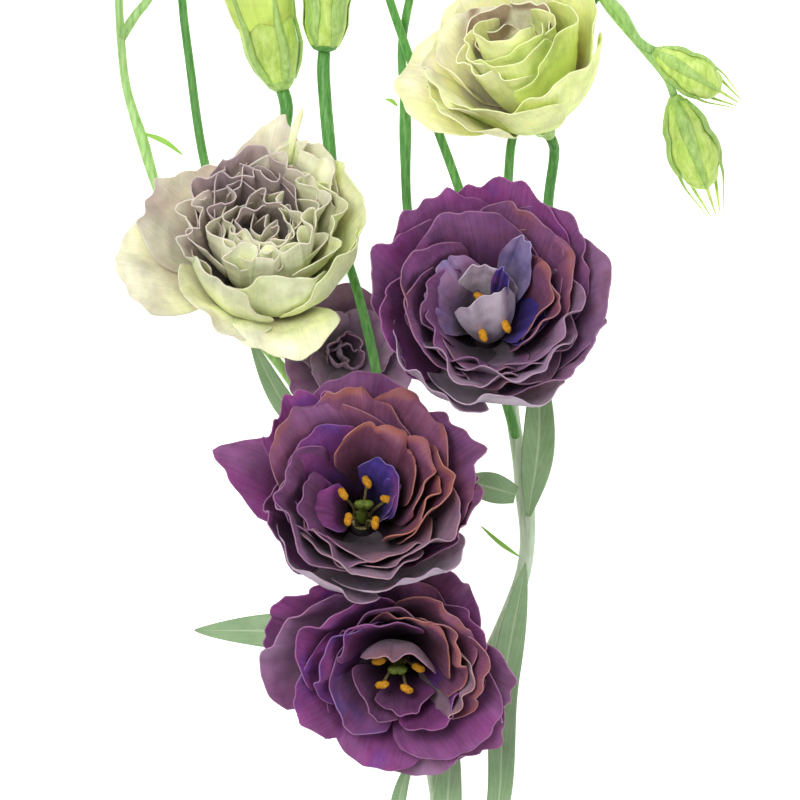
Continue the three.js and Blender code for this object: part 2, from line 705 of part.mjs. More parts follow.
// The main stem's middle comes lower as it tapers, so that its underside stays on the table
const restHeight = (share) =>
  MAIN_STEM_RADIUS * THREE.MathUtils.lerp(1, STEM_TAPER, share) - STEM_REST_SINK;
const branch = { from: BRANCH_RADIUS * 1.2, to: BRANCH_RADIUS * 0.9, sides: 7, step: 15 };
const stalk = { from: PEDICEL_RADIUS, to: PEDICEL_RADIUS, sides: 6, step: 10 };
const slim = { from: PEDICEL_RADIUS, to: PEDICEL_RADIUS * 0.8, sides: 6, step: 22 };
const STEMS = [
  {
    ...mainStem,
    route: [
      [0, STEM_CUT_Y, restHeight(0)],
      [-1.5, -50, restHeight(0.43)],
      [0, 0, restHeight(0.85)],
      [-0.9, 7, restHeight(0.91)],
      fork.lowest,
    ],
  },
  { ...branch, route: [fork.lowest, [-10.2, 40.6, 4], [-18.9, 69.6, 5], fork.left, fork.upperLeft] },
  {
    ...branch,
    route: [fork.lowest, [8.7, 31.9, 4], [18.9, 52.2, 5], [24.7, 69.6, 6], [24.4, 89.9, 6],
      [21.2, 110, 5.5], fork.right],
    nodes: [0.68],
  },
  { ...stalk, route: [[-2, 24, 3.6], [-9, 38, 5], ...bloomStalkEnd("lower")] },
  { ...stalk, route: [[-18.9, 69.6, 5], [-21.5, 71, 12], ...bloomStalkEnd("centre")] },
  { ...stalk, route: [[22.5, 103, 5.6], [18.5, 117, 10], ...bloomStalkEnd("right")] },
  { ...stalk, route: [[-33, 108, 6], [-33.5, 116, 3.4], [-31.5, 121.5, 2.6], [-29.5, 126.6, 2.6]] },
  { ...stalk, route: [fork.upperLeft, [-45, 134, 7], ...bloomStalkEnd("pale")] },
  { ...stalk, route: [fork.right, [29.5, 158, 7], [31.5, 176, 6], ...bloomStalkEnd("upper")] },
  {
    ...slim,
    route: [fork.left, [-45.5, 125, 6], [-57, 138, 6], [-72.5, 156.6, 6], [-81.2, 175.5, 6],
      [-86.1, 191.4, 7], [-90.5, 205.9, 7], [-92.2, 220.4, 7], [-92.8, 232, 7],
      ...budStalkEnd("top_left")],
    nodes: [0.65],
  },
  { ...slim, route: [[-92.2, 220.4, 7], [-88, 227, 7], ...budStalkEnd("top_side")] },
  {
    ...slim,
    route: [fork.upperLeft, [-45, 133.4, 5.5], [-59.5, 159.5, 5], [-67.6, 182.7, 6], [-72.5, 214.6, 7],
      [-74.5, 232, 7], ...budStalkEnd("top_mid_left")],
  },
  {
    ...slim,
    route: [fork.upperLeft, [-41, 140, 7], [-45, 160, 7.5], [-46.5, 180, 7], ...budStalkEnd("half_open")],
  },
  {
    ...slim,
    route: [[-18.9, 74, 5], [-17.5, 90, 12], [-16.5, 110, 28], [-18.9, 127, 32], [-23.2, 145, 30],
      [-29, 165, 22], [-32, 190, 14], ...budStalkEnd("upright")],
  },
  { ...slim, route: [fork.right, [19.7, 179.8, 4.5], [21.8, 195, 4.5], [33, 215, 4.5], fork.nodding] },
  { ...slim, route: [fork.nodding, [52, 228, 10], ...budStalkEnd("nodding_upper")] },
  { ...slim, route: [fork.nodding, [49, 229, 8], [60.9, 214.6, 9], ...budStalkEnd("nodding_lower")] },
  {
    ...slim,
    route: [[20.5, 119, 6], [8, 128, 4], [-5, 150, 4], [-9.3, 169.7, 4], [-10.2, 201, 4], [-11, 219, 4],
      ...budStalkEnd("top_centre_right")],
    nodes: [0.62],
  },
  {
    ...slim,
    route: [fork.right, [15, 148, 6], [10, 162, 7], [4.9, 178.4, 8], [-2.3, 198, 9], [-9.3, 216, 9],
      ...budStalkEnd("top_centre")],
  },
];

addPiece("stem", joined(STEMS.map(stemSolid)), stemGreen);

for (const bloom of BLOOMS) {
  const frame = flowerFrame(bloom.root, bloom.face);
  const place = (solid) => solid.transform(frame.elements);
  const name = `bloom_${bloom.name}`;
  addPiece(`${name}_petals`, place(petalsSolid(bloom.petals)), bloom.petalMaterial);
  addPiece(`${name}_calyx`, place(calyxSolid(bloom.sepals)), calyxGreen);
  if (bloom.stamens) addPiece(`${name}_stamens`, place(stamensSolid(bloom.stamens)), antherYellow);
  if (bloom.pistil) addPiece(`${name}_pistil`, place(pistilSolid()), stigmaGreen);
}

for (const bud of BUDS) {
  const scale = bud.radius / 8;
  const reach = (ROOT_PLATE_HALF_HEIGHT + CALYX_LENGTH) * scale + FIT_GAP;
  const root = new THREE.Vector3(...bud.face).normalize().multiplyScalar(reach);
  const frame = flowerFrame(root.add(new THREE.Vector3(...bud.stalk)).toArray(), bud.face);
  const place = (solid) => solid.transform(frame.elements);
  addPiece(`bud_${bud.name}`, place(budBodySolid({ ...bud, scale })), bud.petalMaterial ?? budGreen);
  addPiece(`bud_${bud.name}_calyx`, place(calyxSolid({ ...bud.sepals, scale })), calyxGreen);
}

for (const leaf of LEAVES) {
  addPiece(leaf.name, bladeSolid(leafSurface(leaf), 4, 7, LEAF_THICKNESS), leafGreen);
}

export default group;
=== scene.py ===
# %% [markdown]
# A lisianthus spray, cut and laid down
#
# The part is one cut branch of a double lisianthus: six blooms, nine buds, and the leaves on one
# branching stem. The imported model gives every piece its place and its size. Here each piece is
# made again with the thin rims, folds, veins and skins of the real plant, in the same place.

import math
from functools import partial

import bpy
import numpy as np
from mathutils import Matrix, Vector


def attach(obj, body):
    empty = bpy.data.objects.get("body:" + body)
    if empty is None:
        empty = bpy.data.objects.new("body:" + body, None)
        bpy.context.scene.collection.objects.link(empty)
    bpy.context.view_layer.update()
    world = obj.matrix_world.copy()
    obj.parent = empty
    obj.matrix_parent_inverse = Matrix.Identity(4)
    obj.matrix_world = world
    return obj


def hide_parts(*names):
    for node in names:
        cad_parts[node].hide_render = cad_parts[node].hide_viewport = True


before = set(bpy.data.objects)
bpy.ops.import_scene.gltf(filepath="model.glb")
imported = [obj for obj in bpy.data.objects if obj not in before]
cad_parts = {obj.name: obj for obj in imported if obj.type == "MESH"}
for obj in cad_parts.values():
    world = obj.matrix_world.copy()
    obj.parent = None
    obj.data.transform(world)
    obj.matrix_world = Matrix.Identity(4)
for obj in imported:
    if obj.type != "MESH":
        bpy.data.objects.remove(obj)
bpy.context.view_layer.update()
MM = 0.001
print("nodes in the frame:", len(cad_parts))

# %% [markdown]
# The camera looks straight down on the spray from 1.5 m, as far as the picture's flat look asks.
# The frame is 232 mm wide on the table, and up the picture is up the stem. The Standard view keeps
# the petal colours as they are mixed below.

# %% Camera
VIEW_HEIGHT = 1.5
VIEW_WIDTH = 0.232
VIEW_CENTRE = (-0.0116, 0.116)
SENSOR_WIDTH = 36
bpy.ops.object.camera_add(location=(*VIEW_CENTRE, VIEW_HEIGHT), rotation=(0, 0, 0))
camera = bpy.context.object
camera.name = "camera_above"
camera.data.sensor_width = SENSOR_WIDTH
camera.data.lens = SENSOR_WIDTH * VIEW_HEIGHT / VIEW_WIDTH
camera.data.clip_end = 10
bpy.context.scene.camera = camera
bpy.context.scene.view_settings.view_transform = "Standard"
print("lens", round(camera.data.lens, 1), "mm")

# %% [markdown]
# Colours are written as sRGB hex values, as a colour picker gives them, and Blender mixes light in
# linear values, so one function turns them over. Another adds a node with its links, values and
# settings. A link may name a node, which stands for its first output in use. A material starts
# empty, and every skin ends in the same way, with a bump and the shader.


# %% Colour and node helpers
def linear(code):
    parts = [int(code[i : i + 2], 16) / 255 for i in (1, 3, 5)]
    return [p / 12.92 if p <= 0.04045 else ((p + 0.055) / 1.055) ** 2.4 for p in parts] + [1.0]


def even_stops(*colours):
    return [(k / (len(colours) - 1), colour) for k, colour in enumerate(colours)]


def add_node(tree, kind, links=None, values=None, stops=(), **settings):
    node = tree.nodes.new("ShaderNode" + kind)
    for name, value in settings.items():
        setattr(node, name, value)
    for socket, value in (values or {}).items():
        node.inputs[socket].default_value = value
    if stops:
        elements = node.color_ramp.elements
        while len(elements) < len(stops):
            elements.new(0.5)
        for element, (place, colour) in zip(elements, stops):
            element.position = place
            element.color = linear(colour)
    for socket, source in (links or {}).items():
        if isinstance(source, bpy.types.Node):
            source = next(output for output in source.outputs if output.enabled)
        tree.links.new(source, node.inputs[socket])
    return node


def new_material(name):
    material = bpy.data.materials.new(name)
    material.use_nodes = True
    material.node_tree.nodes.clear()
    return material, partial(add_node, material.node_tree)


def finish_skin(add, colour, height, strength, depth, values):
    bump = add("Bump", {"Height": height}, {"Strength": strength, "Distance": depth})
    shader = add("BsdfPrincipled", {"Base Color": colour, "Normal": bump}, values)
    add("OutputMaterial", {"Surface": shader})


def blade_places(add):
    """places across and along a petal or leaf from its UV map, and how far beside its midline"""
    place = add("SeparateXYZ", {0: add("UVMap", uv_map="UVMap")})
    sideways = add("Math", {0: place}, {1: 2.0, 2: -1.0}, operation="MULTIPLY_ADD")
    return place.outputs[0], place.outputs[1], add("Math", {0: sideways}, operation="ABSOLUTE")


# %% [markdown]
# A petal's skin is a sheet of living cells: matt like velvet, a little see-through, with fine
# veins that fan out from the claw and a pale, thin rim. One colour ramp holds all the tints of a
# flower, and each petal carries its own place on that ramp in the attribute petal_tone. The colour
# also runs from the claw to the rim along the petal's own UV map. On the inner face the claw colour
# is painted shade: dark deep in the heart of the bloom, and near black on the purple blooms.

# %% Petal skins
# how many to a metre: clouds of tint 14 mm across, bruises of 9 mm, breaks in the rim of 5 mm and
# the fine grain of 1 mm
TINT_CLOUDS, BRUISES, RIM_BREAKS, PETAL_GRAIN = 72.0, 110.0, 190.0, 900.0
TINT_DRIFT = 0.2
# veins are noise drawn out along the petal, about 24 across a petal 36 mm wide, and the tone
# shifts them, so that no two petals have the same
VEIN_STRETCH = (46.0, 2.6, 37.0)
# the pale wash of bleached petaloids, which on the cupped petals is partly painted light
BLEACH_AND_PAINTED_LIGHT = "#d6cad6"
SMOOTH = {"interpolation_type": "SMOOTHSTEP"}


def petal_skin(name, tints, claw, rims, claw_reach, vein_depth, sheen, bronze=None):
    material, add = new_material(name)
    across, along, beside = blade_places(add)
    coords = add("TexCoord").outputs["Object"]
    tone = add("Attribute", attribute_name="petal_tone").outputs["Fac"]
    # the tint wanders inside a petal too
    drift = add("TexNoise", {"Vector": coords}, {"Scale": TINT_CLOUDS})
    drifted = add("MapRange", {0: drift}, {1: 0.25, 2: 0.75, 3: -TINT_DRIFT, 4: TINT_DRIFT})
    wandering = add("Math", {0: tone, 1: drifted}, operation="ADD")
    tint = add("ValToRGB", {0: wandering}, stops=tints)
    # the claw colour fades into the tint along the petal; on the inner face it is painted shade in the
    # heart of the bloom
    depth = add("MapRange", {0: along}, {1: 0.05, 2: claw_reach}, **SMOOTH)
    body = add("Mix", {0: depth, 7: tint}, {6: linear(claw)}, data_type="RGBA")
    drawn = add("CombineXYZ", {0: across, 1: along, 2: tone})
    drawn = add("VectorMath", {0: drawn}, {1: VEIN_STRETCH}, operation="MULTIPLY")
    vein = add("TexNoise", {"Vector": drawn}, {"Scale": 1.0, "Distortion": 0.3})
    vein_range = {1: 0.35, 2: 0.62, 3: 1 - vein_depth, 4: 1 + 0.5 * vein_depth}
    vein_shade = add("MapRange", {0: vein}, vein_range)
    # the light and dark of a bruised or bleached petal
    patch = add("TexNoise", {"Vector": coords}, {"Scale": BRUISES, "Detail": 3.0, "Roughness": 0.55})
    patch_shade = add("MapRange", {0: patch}, {1: 0.3, 2: 0.7, 3: 0.78, 4: 1.2})
    shade = add("Math", {0: vein_shade, 1: patch_shade}, operation="MULTIPLY")
    colour = add("VectorMath", {0: body, "Scale": shade}, operation="SCALE")
    if bronze:
        # the rolled top of a petal with a high tone turns to bronze
        rolled = add("MapRange", {0: along}, {1: 0.83, 2: 0.91}, **SMOOTH)
        ripe = add("MapRange", {0: wandering}, {1: 0.62, 2: 0.9, 4: 0.85})
        share = add("Math", {0: rolled, 1: ripe}, operation="MULTIPLY")
        colour = add("Mix", {0: share, 6: colour}, {7: linear(bronze)}, data_type="RGBA")
    # the pale rim, under 2 mm wide, runs along the top and the upper sides, and breaks off and
    # starts again on its way
    top = add("MapRange", {0: along}, {1: 0.95, 4: 0.85}, **SMOOTH)
    side = add("MapRange", {0: beside}, {1: 0.95, 4: 0.7}, **SMOOTH)
    high = add("MapRange", {0: along}, {1: 0.45, 2: 0.8})
    side_high = add("Math", {0: side, 1: high}, operation="MULTIPLY")
    rim = add("Math", {0: top, 1: side_high}, operation="MAXIMUM")
    broken = add("TexNoise", {"Vector": coords}, {"Scale": RIM_BREAKS, "Detail": 1.0})
    lit = add("MapRange", {0: broken}, {1: 0.38, 2: 0.62, 3: 0.12})
    rim_share = add("Math", {0: rim, 1: lit}, operation="MULTIPLY")
    rim_tint = add("ValToRGB", {0: tone}, stops=rims)
    rimmed = add("Mix", {0: rim_share, 6: colour, 7: rim_tint}, data_type="RGBA")
    # a bleached petaloid, as some stamens become in a double bloom; on the cupped petals the same pale wash
    # is partly painted light, lifting inner faces that lie in the shadow of the petals above
    pale = add("Attribute", attribute_name="petal_pale").outputs["Fac"]
    bleach_and_painted_light_patches = add("MapRange", {0: patch}, {1: 0.3, 2: 0.6, 3: 0.45})
    pale_share = add("Math", {0: pale, 1: bleach_and_painted_light_patches}, operation="MULTIPLY")
    bleached_and_painted_light = add("Mix", {0: pale_share, 6: rimmed}, {7: linear(BLEACH_AND_PAINTED_LIGHT)}, data_type="RGBA")
    fine = add("TexNoise", {"Vector": coords}, {"Scale": PETAL_GRAIN})
    relief = add("Math", {0: vein, 2: fine}, {1: 1.6}, operation="MULTIPLY_ADD")
    values = {"Roughness": 0.55, "Specular IOR Level": 0.2, "Sheen Weight": sheen,
              "Sheen Roughness": 0.45, "Subsurface Weight": 0.12, "Subsurface Scale": 0.0012}
    finish_skin(add, bleached_and_painted_light, relief, 0.5, 0.0002, values)
    return material


# purple: from deep indigo through violet and mauve to copper
PURPLE = even_stops("#503f96", "#8c4583", "#835482", "#84506e", "#7c485c")
PURPLE_RIM = even_stops("#7e68b0", "#a8609c", "#a07096", "#b07c7c", "#c0745c")
PURPLE_EDGE = even_stops("#8072b0", "#a0649a", "#94688e", "#a87a80", "#c07c66")
PURPLE_BACK = even_stops("#5c4a94", "#8d5486", "#957c98", "#8d5c66", "#a0644f")
# pale: from grey mauve through cream to lime
PALE = even_stops("#a08c90", "#cbbfb2", "#e8e5cc", "#f2f2d0", "#ecf2b6")
PALE_RIM = even_stops("#c6b6b8", "#d8cbc2", "#e6dcca", "#e9e3c6", "#e6ebb4")
PALE_BACK = even_stops("#cfc5ba", "#dedcc0", "#edeecc", "#f0f4c8", "#e8f2b0")
# green: from ivory to lime green, on the young blooms
GREEN = [(0.0, "#b09c84"), (0.08, "#fbf3d8"), (0.35, "#f7fab8"), (0.7, "#ecf99a"), (1.0, "#d8ee80")]
GREEN_RIM = [(0.0, "#fbf6d6"), (0.35, "#f6f7c4"), (0.7, "#eff6b2"), (1.0, "#e2f09c")]
# each side of a petal in each colour, in the order in which petal_skin takes its values; a petal's
# grid faces outwards, so its back comes first
SIDES = ("back", "face", "rim")
# the claw colour of each inner face is painted shade deep in the heart of the bloom: near black on the
# purple, dark mauve on the pale and brown on the green
LOOKS = {
    "purple": [(PURPLE_BACK, "#6b6650", PURPLE_RIM, 0.5, 0.13, 0.1, "#a4674f"),
               (PURPLE, "#12060e", PURPLE_RIM, 0.82, 0.13, 0.03, "#a4645a"),
               (PURPLE_EDGE, "#a3848f", PURPLE_EDGE, 0.4, 0.05, 0.1)],
    "pale": [(PALE_BACK, "#d2e68c", PALE_RIM, 0.6, 0.05, 0.08),
             (PALE, "#4a3036", PALE_RIM, 0.55, 0.05, 0.05),
             (PALE_RIM, "#e4e4bc", PALE_RIM, 0.4, 0.03, 0.08)],
    "green": [(GREEN, "#c2d868", GREEN_RIM, 0.5, 0.05, 0.06),
              (GREEN, "#84715a", GREEN_RIM, 0.48, 0.05, 0.06),
              (GREEN_RIM, "#f0f6c4", GREEN_RIM, 0.4, 0.02, 0.06)],
}
SKINS = {
    name: [petal_skin(f"{name}_petal_{side}", *look) for side, look in zip(SIDES, looks)]
    for name, looks in LOOKS.items()
}
print("petal skins:", 3 * len(SKINS))

# %% [markdown]
# Stems, sepals and leaves of a lisianthus carry a thin bloom of wax, which makes them grey-green
# and half matt. The stem is lined lengthwise by fine ridges, which noise drawn out along Y stands
# for, because every stem here runs nearly that way.

# %% Green skins
WAX_CLOUDS = 45.0
GREEN_FLESH = {"Specular IOR Level": 0.35, "Subsurface Weight": 0.06, "Subsurface Scale": 0.001}


def waxy_skin(name, tints, size, stretch, roughness, bump_depth):
    material, add = new_material(name)
    coords = add("TexCoord").outputs["Object"]
    mapping = add("Mapping", {"Vector": coords}, {"Scale": (1, stretch, 1)})
    grain = add("TexNoise", {"Vector": mapping}, {"Scale": 1 / size, "Detail": 4.0, "Roughness": 0.6})
    tint = add("ValToRGB", {0: grain}, stops=list(zip((0.3, 0.5, 0.75), tints)))
    cloud = add("TexNoise", {"Vector": coords}, {"Scale": WAX_CLOUDS})
    cloud_shade = add("MapRange", {0: cloud}, {1: 0.3, 2: 0.7, 3: 0.85, 4: 1.12})
    shaded = add("VectorMath", {0: tint, "Scale": cloud_shade}, operation="SCALE")
    finish_skin(add, shaded, grain, 0.45, bump_depth, {**GREEN_FLESH, "Roughness": roughness})
    return material


stem_skin = waxy_skin("waxed_stem", ("#a4bc93", "#bfd1b4", "#d5dfcd"), 0.0011, 0.12, 0.5, 0.0002)
slim_skin = waxy_skin("young_stalk", ("#3f7c31", "#589545", "#80b366"), 0.0009, 0.12, 0.48, 0.00015)
fresh_skin = waxy_skin("fresh_shoot", ("#86b060", "#a5d07c", "#c4e6a0"), 0.0009, 0.12, 0.48, 0.00015)
sepal_skin = waxy_skin("sepal_green", ("#8bb05c", "#a6c86c", "#c4dd8e"), 0.0012, 0.3, 0.5, 0.0002)
bud_skin = waxy_skin("green_bud", ("#a6c858", "#c2de6e", "#dcee98"), 0.0014, 0.25, 0.45, 0.0002)
style_skin = waxy_skin("pistil_green", ("#4e5f1c", "#64772a", "#84933c"), 0.0006, 1, 0.5, 0.0001)
filament_skin = waxy_skin("filament", ("#5f5634", "#7d7448", "#a09866"), 0.0008, 1, 0.5, 0.0001)
pollen_skin = waxy_skin("dusty_pollen", ("#96620f", "#cf9018", "#e6b13c"), 0.0005, 1, 0.85, 0.0003)

# %% [markdown]
# A leaf has a pale midrib, and side veins that leave it at a slant. Both come from the leaf's own
# UV map, in which U crosses the leaf and V runs from its base to its tip.

# %% Leaf skin
LEAF_MOTTLE = 160.0
SIDE_VEIN_SLANT = -0.35
SIDE_VEIN_TURNS = 50.0


def leaf_skin(name, dark, light, vein_colour, roughness):
    material, add = new_material(name)
    _, along, beside = blade_places(add)
    midrib = add("MapRange", {0: beside}, {1: 0.03, 2: 0.14, 3: 1.0, 4: 0.0}, **SMOOTH)
    slant = add("Math", {0: beside, 2: along}, {1: SIDE_VEIN_SLANT}, operation="MULTIPLY_ADD")
    turned = add("Math", {0: slant}, {1: SIDE_VEIN_TURNS}, operation="MULTIPLY")
    wave = add("Math", {0: turned}, operation="SINE")
    side_vein = add("MapRange", {0: wave}, {1: 0.8, 4: 0.35}, **SMOOTH)
    veins = add("Math", {0: midrib, 1: side_vein}, operation="MAXIMUM")
    coords = add("TexCoord").outputs["Object"]
    mottle = {"Scale": LEAF_MOTTLE, "Detail": 4.0, "Roughness": 0.6}
    cloud = add("TexNoise", {"Vector": coords}, mottle)
    tint = add("ValToRGB", {0: cloud}, stops=[(0.3, dark), (0.7, light)])
    mixed = add("Mix", {0: veins, 6: tint}, {7: linear(vein_colour)}, data_type="RGBA")
    height = add("Math", {0: veins, 2: cloud}, {1: -0.8}, operation="MULTIPLY_ADD")
    finish_skin(add, mixed, height, 0.5, 0.0003, {**GREEN_FLESH, "Roughness": roughness})
    return material


leaf_upper = leaf_skin("leaf_upper_face", "#84a776", "#9ab98a", "#b0ca9f", 0.5)
leaf_under = leaf_skin("leaf_under_face", "#9dbc8e", "#b4cca6", "#c2d8b0", 0.6)
lime_blade = leaf_skin("lime_bract", "#8cc548", "#a6da5c", "#c4ea84", 0.5)

# %% [markdown]
# Every thin or round piece is made from a plain grid. A grid is added, its points are put on the
# surface that a few lines of arithmetic give, and it is finished with operators and modifiers: a
# Solidify gives petals and leaves their thickness, and a tube's long seam is merged and its ends
# are filled. This is quicker to follow than pulling 160 petals into shape by hand.


# %% Grid helpers
def circle(count):
    return np.linspace(0, 2 * np.pi, count, endpoint=False)


def unit(vector):
    return np.array(vector, float) / np.linalg.norm(vector)


def add_grid(name, columns, rows, points):
    bpy.ops.mesh.primitive_grid_add(x_subdivisions=columns, y_subdivisions=rows, size=1)
    piece = bpy.context.object
    piece.name = name
    piece.data.vertices.foreach_set("co", (np.asarray(points, float) * MM).ravel())
    piece.data.update()
    return piece


def grid_places(columns, rows):
    """across from -1 to 1 and along from 0 to 1, in the order of a grid's own points"""
    across = np.tile(np.linspace(-1, 1, columns + 1), rows + 1)
    along = np.repeat(np.linspace(0, 1, rows + 1), columns + 1)
    return across, along


def thicken(piece, thickness, skins):
    for skin in skins:
        piece.data.materials.append(skin)
    solidify = piece.modifiers.new("thickness", "SOLIDIFY")
    solidify.thickness = thickness * MM
    solidify.offset = 0
    if len(skins) > 1:
        solidify.material_offset = 1
    if len(skins) > 2:
        solidify.material_offset_rim = 2
    bpy.ops.object.modifier_apply(modifier="thickness")
    bpy.ops.object.shade_smooth()


def add_loft(name, rings, skin, placing=None):
    """a closed tube through rings of points in millimetres, set in a flower's frame if one is given"""
    rings = place_points(rings, placing) if placing else np.asarray(rings, float)
    rows, sides = rings.shape[0] - 1, rings.shape[1]
    points = np.concatenate([rings, rings[:, :1]], axis=1).reshape(-1, 3)
    piece = add_grid(name, sides, rows, points)
    bpy.ops.object.mode_set(mode="EDIT")
    bpy.ops.mesh.select_all(action="SELECT")
    bpy.ops.mesh.remove_doubles(threshold=1e-6)
    bpy.ops.mesh.fill_holes(sides=0)
    bpy.ops.mesh.normals_make_consistent(inside=False)
    bpy.ops.object.mode_set(mode="OBJECT")
    piece.data.materials.append(skin)
    bpy.ops.object.shade_smooth()
    return piece


def join_pieces(name, pieces):
    bpy.ops.object.select_all(action="DESELECT")
    for piece in pieces:
        piece.select_set(True)
    bpy.context.view_layer.objects.active = pieces[0]
    if len(pieces) > 1:
        bpy.ops.object.join()
    whole = bpy.context.object
    whole.name = name
    whole.data.name = name
    return whole


def stand_for(piece, node):
    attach(piece, "root")
    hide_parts(node)


# %% [markdown]
# Stems and leaves follow smooth curves through the same points as in the model. The curve is the
# centripetal Catmull-Rom curve, which passes through its points without loops or kinks.


# %% Smooth curve
def curve_point(route, share):
    """the curve's point at each share of its spans, as an array"""
    route = np.asarray(route, float)
    spans = len(route) - 1
    share = np.atleast_1d(np.asarray(share, float)) * spans
    k = np.minimum(share.astype(int), spans - 1)
    w = (share - k)[:, None]
    padded = np.concatenate([[2 * route[0] - route[1]], route, [2 * route[-1] - route[-2]]])
    p0, p1, p2, p3 = padded[k], padded[k + 1], padded[k + 2], padded[k + 3]
    d0, d1, d2 = [
        np.maximum(np.linalg.norm(b - a, axis=1), 1e-4)[:, None] ** 0.5
        for a, b in ((p0, p1), (p1, p2), (p2, p3))
    ]
    m1 = ((p1 - p0) / d0 - (p2 - p0) / (d0 + d1) + (p2 - p1) / d1) * d1
    m2 = ((p2 - p1) / d1 - (p3 - p1) / (d1 + d2) + (p3 - p2) / d2) * d1
    return p1 + m1 * w + (3 * (p2 - p1) - 2 * m1 - m2) * w**2 + (2 * (p1 - p2) + m1 + m2) * w**3


def even_points(route, count):
    dense = curve_point(route, np.linspace(0, 1, 600))
    run = np.concatenate([[0], np.cumsum(np.linalg.norm(np.diff(dense, axis=0), axis=1))])
    at = np.linspace(0, run[-1], count)
    return np.stack([np.interp(at, run, dense[:, k]) for k in range(3)], axis=1), run[-1]


def ring_frames(points):
    """two directions square to the line at each point, turned as little as possible"""
    tangents = np.gradient(points, axis=0)
    tangents /= np.linalg.norm(tangents, axis=1)[:, None]
    start = np.array([0.0, 0.0, 1.0]) if abs(tangents[0][2]) < 0.9 else np.array([1.0, 0.0, 0.0])
    normals = []
    for tangent in tangents:
        start = start - tangent * start.dot(tangent)
        start = start / np.linalg.norm(start)
        normals.append(start)
    normals = np.array(normals)
    return normals, np.cross(tangents, normals)


def tube_rings(route, count, radius, sides):
    points, _ = even_points(route, count)
    normals, sideways = ring_frames(points)
    radius = np.broadcast_to(radius, (count,))[:, None, None]
    turn = circle(sides)[None, :, None]
    return points[:, None] + radius * (normals[:, None] * np.cos(turn) + sideways[:, None] * np.sin(turn))


# %% [markdown]
# A petal springs from a narrow claw, widens like a fan, wraps round the flower's axis and throws
# its rim into waves. The surface is worked out in the flower's own frame: the midline leaves the
# root at one lean, passes half way at another and ends at a third. The large waves are those of
# the model. Smaller ones are added here, with a few seeded draws for each petal, and the tip may
# curl outwards.

# %% Petal surface
CLAW_SHARE = 0.09
FAN_REACH = 0.75
SKEW = 0.11
PROFILE_STEPS = 24
PETAL_COLUMNS = 38
PETAL_ROWS = 24
PETAL_SKIN_THICKNESS = 0.34
# what a petal has unless its layer or its own look says otherwise
PLAIN_PETAL = dict(ragged=0.5, point=0, shoulder=0.22, curl=0, roll=0, wander=7, frill=0.35,
                   pleat=0.5, crumple=0.14, pale=0)


def smooth_step(low, high, value):
    s = np.clip((value - low) / (high - low), 0, 1)
    return s * s * (3 - 2 * s)


